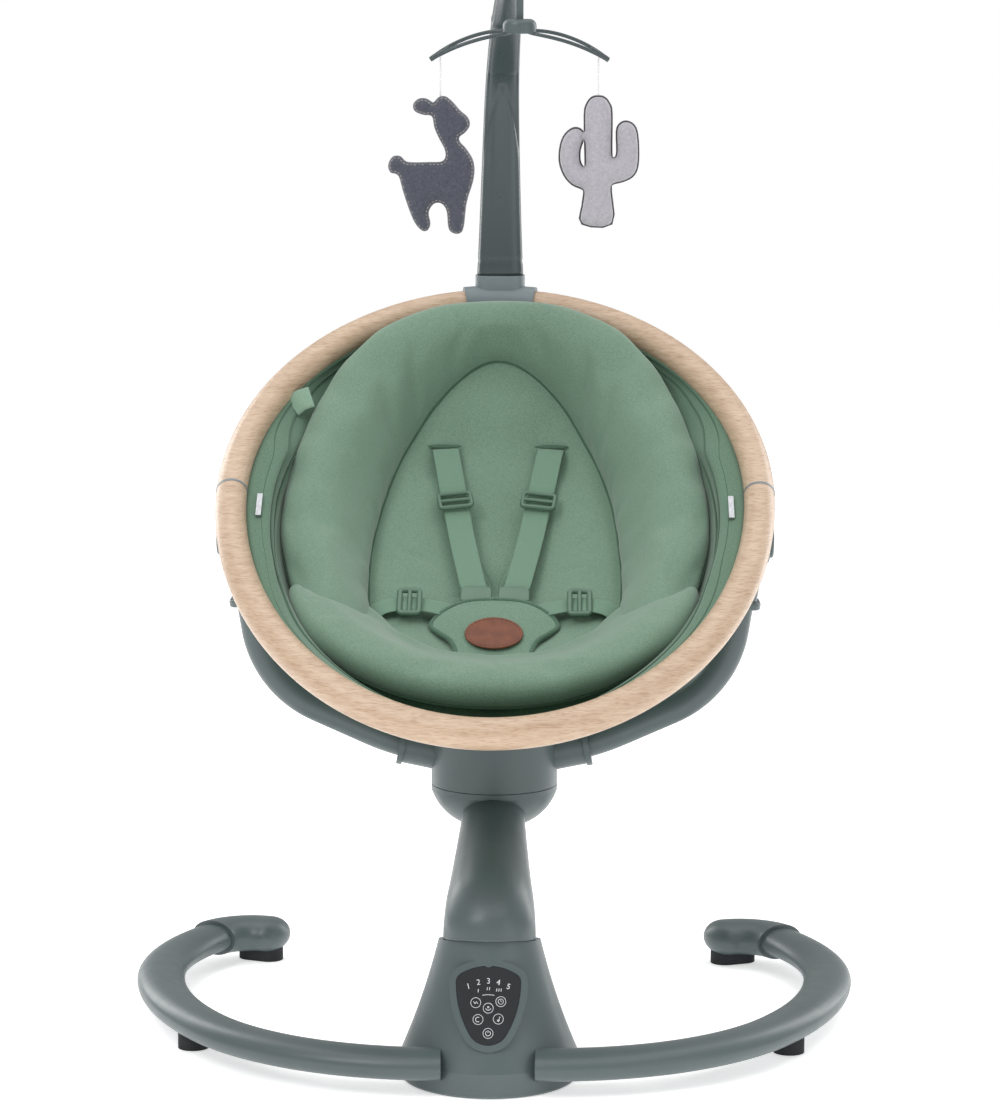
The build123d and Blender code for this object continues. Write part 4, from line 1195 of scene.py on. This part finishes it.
def make_mobile():
    """Two arms, each a thin closed loop that droops to a fuller tip."""
    centre, arm_top = 0.0198, 883.9
    low, reach, hub, past = 19.0, 70.0, 8.0, 8.0
    half_width, outer_share, side_rise, points = 11.5, 0.85, 0.24, 72
    wire_radius, tip_radius, tip_from = 0.0017, 0.0024, (62, 64, 67, 70, 73, 76, 79)
    radius = (reach ** 2 + low ** 2) / (2 * low)
    parts = []

    def height(x):
        return arm_top - (radius - math.sqrt(radius ** 2 - x ** 2))

    for side in (-1, 1):
        loop = []
        for k in range(points):
            a = 2 * math.pi * k / points
            x = hub + (reach + past - hub) * (1 - math.cos(a)) / 2
            y = half_width * math.sin(a) * (outer_share + (1 - outer_share) * math.cos(a))
            loop.append(Vector((centre + side * x * MM, TOY_Y + y * MM,
                                (height(x) + side_rise * y) * MM)))
        parts.append(cord_tube("mobile_loops", loop, wire_radius, 10, True))
        tip = [Vector((centre + side * x * MM, TOY_Y, height(x) * MM)) for x in tip_from]
        parts.append(cord_tube("mobile_tip", tip, tip_radius, 12))
    finish_piece(join(parts), "mobile", "plastic", "bar_plastic", "mobile_arms")


def inset(outline, by):
    """The outline drawn in by a distance, keeping to its own side."""
    n = len(outline)
    area = sum(outline[i][0] * outline[(i + 1) % n][1] - outline[(i + 1) % n][0] * outline[i][1]
               for i in range(n))
    turn = 1 if area > 0 else -1
    out = []
    for i, (x, y) in enumerate(outline):
        ax, ay = outline[i - 1]
        bx, by_ = outline[(i + 1) % n]
        along = Vector((bx - ax, by_ - ay))
        if along.length < 1e-9:
            continue
        along.normalize()
        out.append((x - turn * along[1] * by, y + turn * along[0] * by))
    return out


def snap(points, target, side):
    """Lay points on the toy's front or back face."""
    out = []
    bpy.context.view_layer.update()
    for p in points:
        hit, spot, _, _ = target.ray_cast(Vector((p.x, TOY_Y + side * 0.05, p.z)),
                                          Vector((0, -side, 0)))
        out.append(spot + Vector((0, side * 0.0002, 0)) if hit else p)
    return out


# ---- control panel -----------------------------------------------------------------
PANEL_LEAN = math.radians(19.7)
PANEL_FRONT, PANEL_Z = 55.64, 75.0


def panel(x, y, h=0.72):
    up = Vector((0, math.sin(PANEL_LEAN), math.cos(PANEL_LEAN)))
    out = Vector((0, -math.cos(PANEL_LEAN), math.sin(PANEL_LEAN)))
    return (Vector((x, -PANEL_FRONT, PANEL_Z)) + up * y + out * h) * MM


def stroke(points, width, closed=False):
    """A flat printed line on the panel, given by points in mm."""
    n = len(points)
    left, right = [], []
    for i, p in enumerate(points):
        a = points[(i - 1) % n] if closed or i else p
        b = points[(i + 1) % n] if closed or i < n - 1 else p
        along = (Vector(b) - Vector(a)).normalized()
        normal = Vector((-along[1], along[0])) * width / 2
        left.append(panel(p[0] + normal[0], p[1] + normal[1]))
        right.append(panel(p[0] - normal[0], p[1] - normal[1]))
    verts = left + right
    faces = []
    for i in range(n if closed else n - 1):
        k = (i + 1) % n
        faces.append((i, k, n + k, n + i))
    return mesh_object("stroke", verts, faces, False)


def circle(x, y, r, count=28, start=0, turn=360):
    return [(x + r * math.cos(math.radians(start + turn * i / count)),
             y + r * math.sin(math.radians(start + turn * i / count)))
            for i in range(count if turn == 360 else count + 1)]


def make_panel_print():
    parts = []
    for i, digit in enumerate("12345"):
        x = (i - 2) * 8.4
        y = 20.5 - 0.016 * x * x
        text = bpy.data.curves.new("digit", "FONT")
        text.body = digit
        text.size = 6.6
        text.align_x = "CENTER"
        text.align_y = "CENTER"
        obj = bpy.data.objects.new("digit", text)
        SCENE.collection.objects.link(obj)
        bpy.context.view_layer.update()
        mesh = bpy.data.meshes.new_from_object(
            obj.evaluated_get(bpy.context.evaluated_depsgraph_get()))
        bpy.data.objects.remove(obj)
        slant = Matrix.Rotation(math.radians(-x * 0.9), 2)
        for vertex in mesh.vertices:
            q = slant @ Vector(vertex.co[:2])
            vertex.co = panel(x + q[0], y + q[1])
        part = bpy.data.objects.new("digit", mesh)
        SCENE.collection.objects.link(part)
        parts.append(part)
    for x, y, marks in ((-8.5, 12.5, 1), (0, 14.2, 2), (8.8, 13.2, 3)):
        for k in range(marks):
            at = x + (k - (marks - 1) / 2) * 1.9
            parts.append(stroke([(at - 0.2, y - 1.3), (at + 0.2, y + 1.3)], 0.55))
    parts.append(stroke([(x, 9.2 - 0.02 * x * x) for x in range(-5, 6)], 0.45))
    keys = ((-10.5, 2.5), (10.5, 3.5), (0, -2.0), (-8.5, -11.5), (8.5, -11.0), (0, -23.0))
    for x, y in keys:
        parts.append(stroke(circle(x, y, 4.2), 0.42, True))
    x, y = keys[0]                                  # a wave
    parts.append(stroke([(x + d * 0.5, y + math.sin(d * 1.3) * 0.9) for d in range(-4, 5)], 0.5))
    x, y = keys[1]                                  # a clock
    parts.append(stroke(circle(x, y, 2.2, 20), 0.42, True))
    parts.append(stroke([(x, y + 1.4), (x, y), (x + 1.0, y)], 0.42))
    x, y = keys[2]                                  # a swinging arc
    parts.append(stroke(circle(x, y + 0.6, 2.3, 12, 200, 140), 0.5))
    parts.append(stroke(circle(x, y + 0.8, 0.6, 10), 0.5, True))
    x, y = keys[3]                                  # a crescent
    parts.append(stroke(circle(x, y, 2.0, 14, 60, 240), 0.55))
    x, y = keys[4]                                  # a note
    parts.append(stroke([(x + 0.8, y - 1.2), (x + 0.8, y + 2.0), (x + 2.0, y + 1.3)], 0.45))
    parts.append(stroke(circle(x, y - 1.3, 0.6, 10), 0.7, True))
    x, y = keys[5]                                  # power
    parts.append(stroke(circle(x, y, 2.1, 16, 120, 300), 0.5))
    parts.append(stroke([(x, y + 0.5), (x, y + 2.6)], 0.5))
    art = join(parts)
    art.name = "panel_print"
    art.data.polygons.foreach_set("use_smooth", [False] * len(art.data.polygons))
    finish_piece(art, "base", "panel", "print")


# ---- everything together -----------------------------------------------------------
GREEN_DARK, GREEN_LIGHT = (96, 124, 105), (126, 153, 133)
PAINTS = {
    "fabric": fabric_paint("fabric", GREEN_DARK, GREEN_LIGHT),
    "liner": fabric_paint("liner", (80, 108, 89), (106, 134, 114)),
    "piping": fabric_paint("piping", (60, 88, 70), (78, 106, 86)),
    "piping_light": fabric_paint("piping_light", (72, 100, 82), (90, 118, 99)),
    "tag": fabric_paint("tag", (118, 146, 126), (140, 168, 148), 0.2),
    "webbing": web_paint(),
    "plastic": plastic_paint("plastic", (76, 87, 88), (86, 98, 99)),
    "bar_plastic": plastic_paint("bar_plastic", (58, 68, 70), (68, 78, 80), 0.28, 0.12),
    "collar": plastic_paint("collar_plastic", (112, 122, 126), (126, 136, 140), 0.38),
    "green_plastic": plastic_paint("green_plastic", (84, 112, 94), (94, 123, 104), 0.34),
    "leather": leather_paint(),
    "leather_stitch": felt_paint("leather_stitch", (86, 44, 30), (120, 72, 50)),
    "felt_dark": felt_paint("felt_dark", (60, 63, 73), (88, 91, 102)),
    "felt_light": felt_paint("felt_light", (152, 149, 156), (182, 180, 186)),
    "piping_dark": felt_paint("piping_dark", (62, 60, 66), (82, 80, 86)),
    "stitch": felt_paint("stitch", (150, 142, 136), (186, 178, 170)),
    "string": string_paint(),
    "wood": wood_paint(),
    "panel": glass_paint(),
    "print": print_paint(),
    "rubber": rubber_paint(),
    "steel": metal_paint("steel", (150, 152, 155), (190, 192, 195), 0.32),
    "copper": metal_paint("copper", (170, 98, 60), (205, 130, 85), 0.3),
    "magnet": metal_paint("magnet", (120, 122, 126), (150, 152, 156), 0.25),
    "board": plastic_paint("board", (20, 66, 42), (32, 84, 54), 0.4),
    "acetal": plastic_paint("acetal", (222, 222, 216), (236, 236, 230), 0.4),
}
SLOT_PAINT = {"plastic": "plastic", "collar_plastic": "collar", "panel": "panel",
              "rubber": "rubber", "wood": "wood", "fabric": "fabric", "webbing": "webbing",
              "steel": "steel", "board": "board", "copper": "copper", "magnet": "magnet",
              "acetal": "acetal", "felt_dark": "felt_dark", "felt_light": "felt_light",
              "string": "string"}


def paint_nodes():
    """Give every carried-over CAD node the finish of its slot."""
    slots = {part["node"]: part["material_slot"] for part in frame["record"]["subparts"]}
    for name, obj in NODES.items():
        slot = slots.get(name)
        paint = PAINTS[SLOT_PAINT.get(slot, "plastic")]
        if not obj.data.materials:
            obj.data.materials.append(paint)
        for index in range(len(obj.data.materials)):
            obj.data.materials[index] = paint


place_camera()
build_studio()
paint_nodes()
make_toys()
make_main_pad()
make_front_pad()
make_liner()
make_harness()
make_buckle()
make_tag()
make_neck()
make_toy_bar()
make_mobile()
make_panel_print()
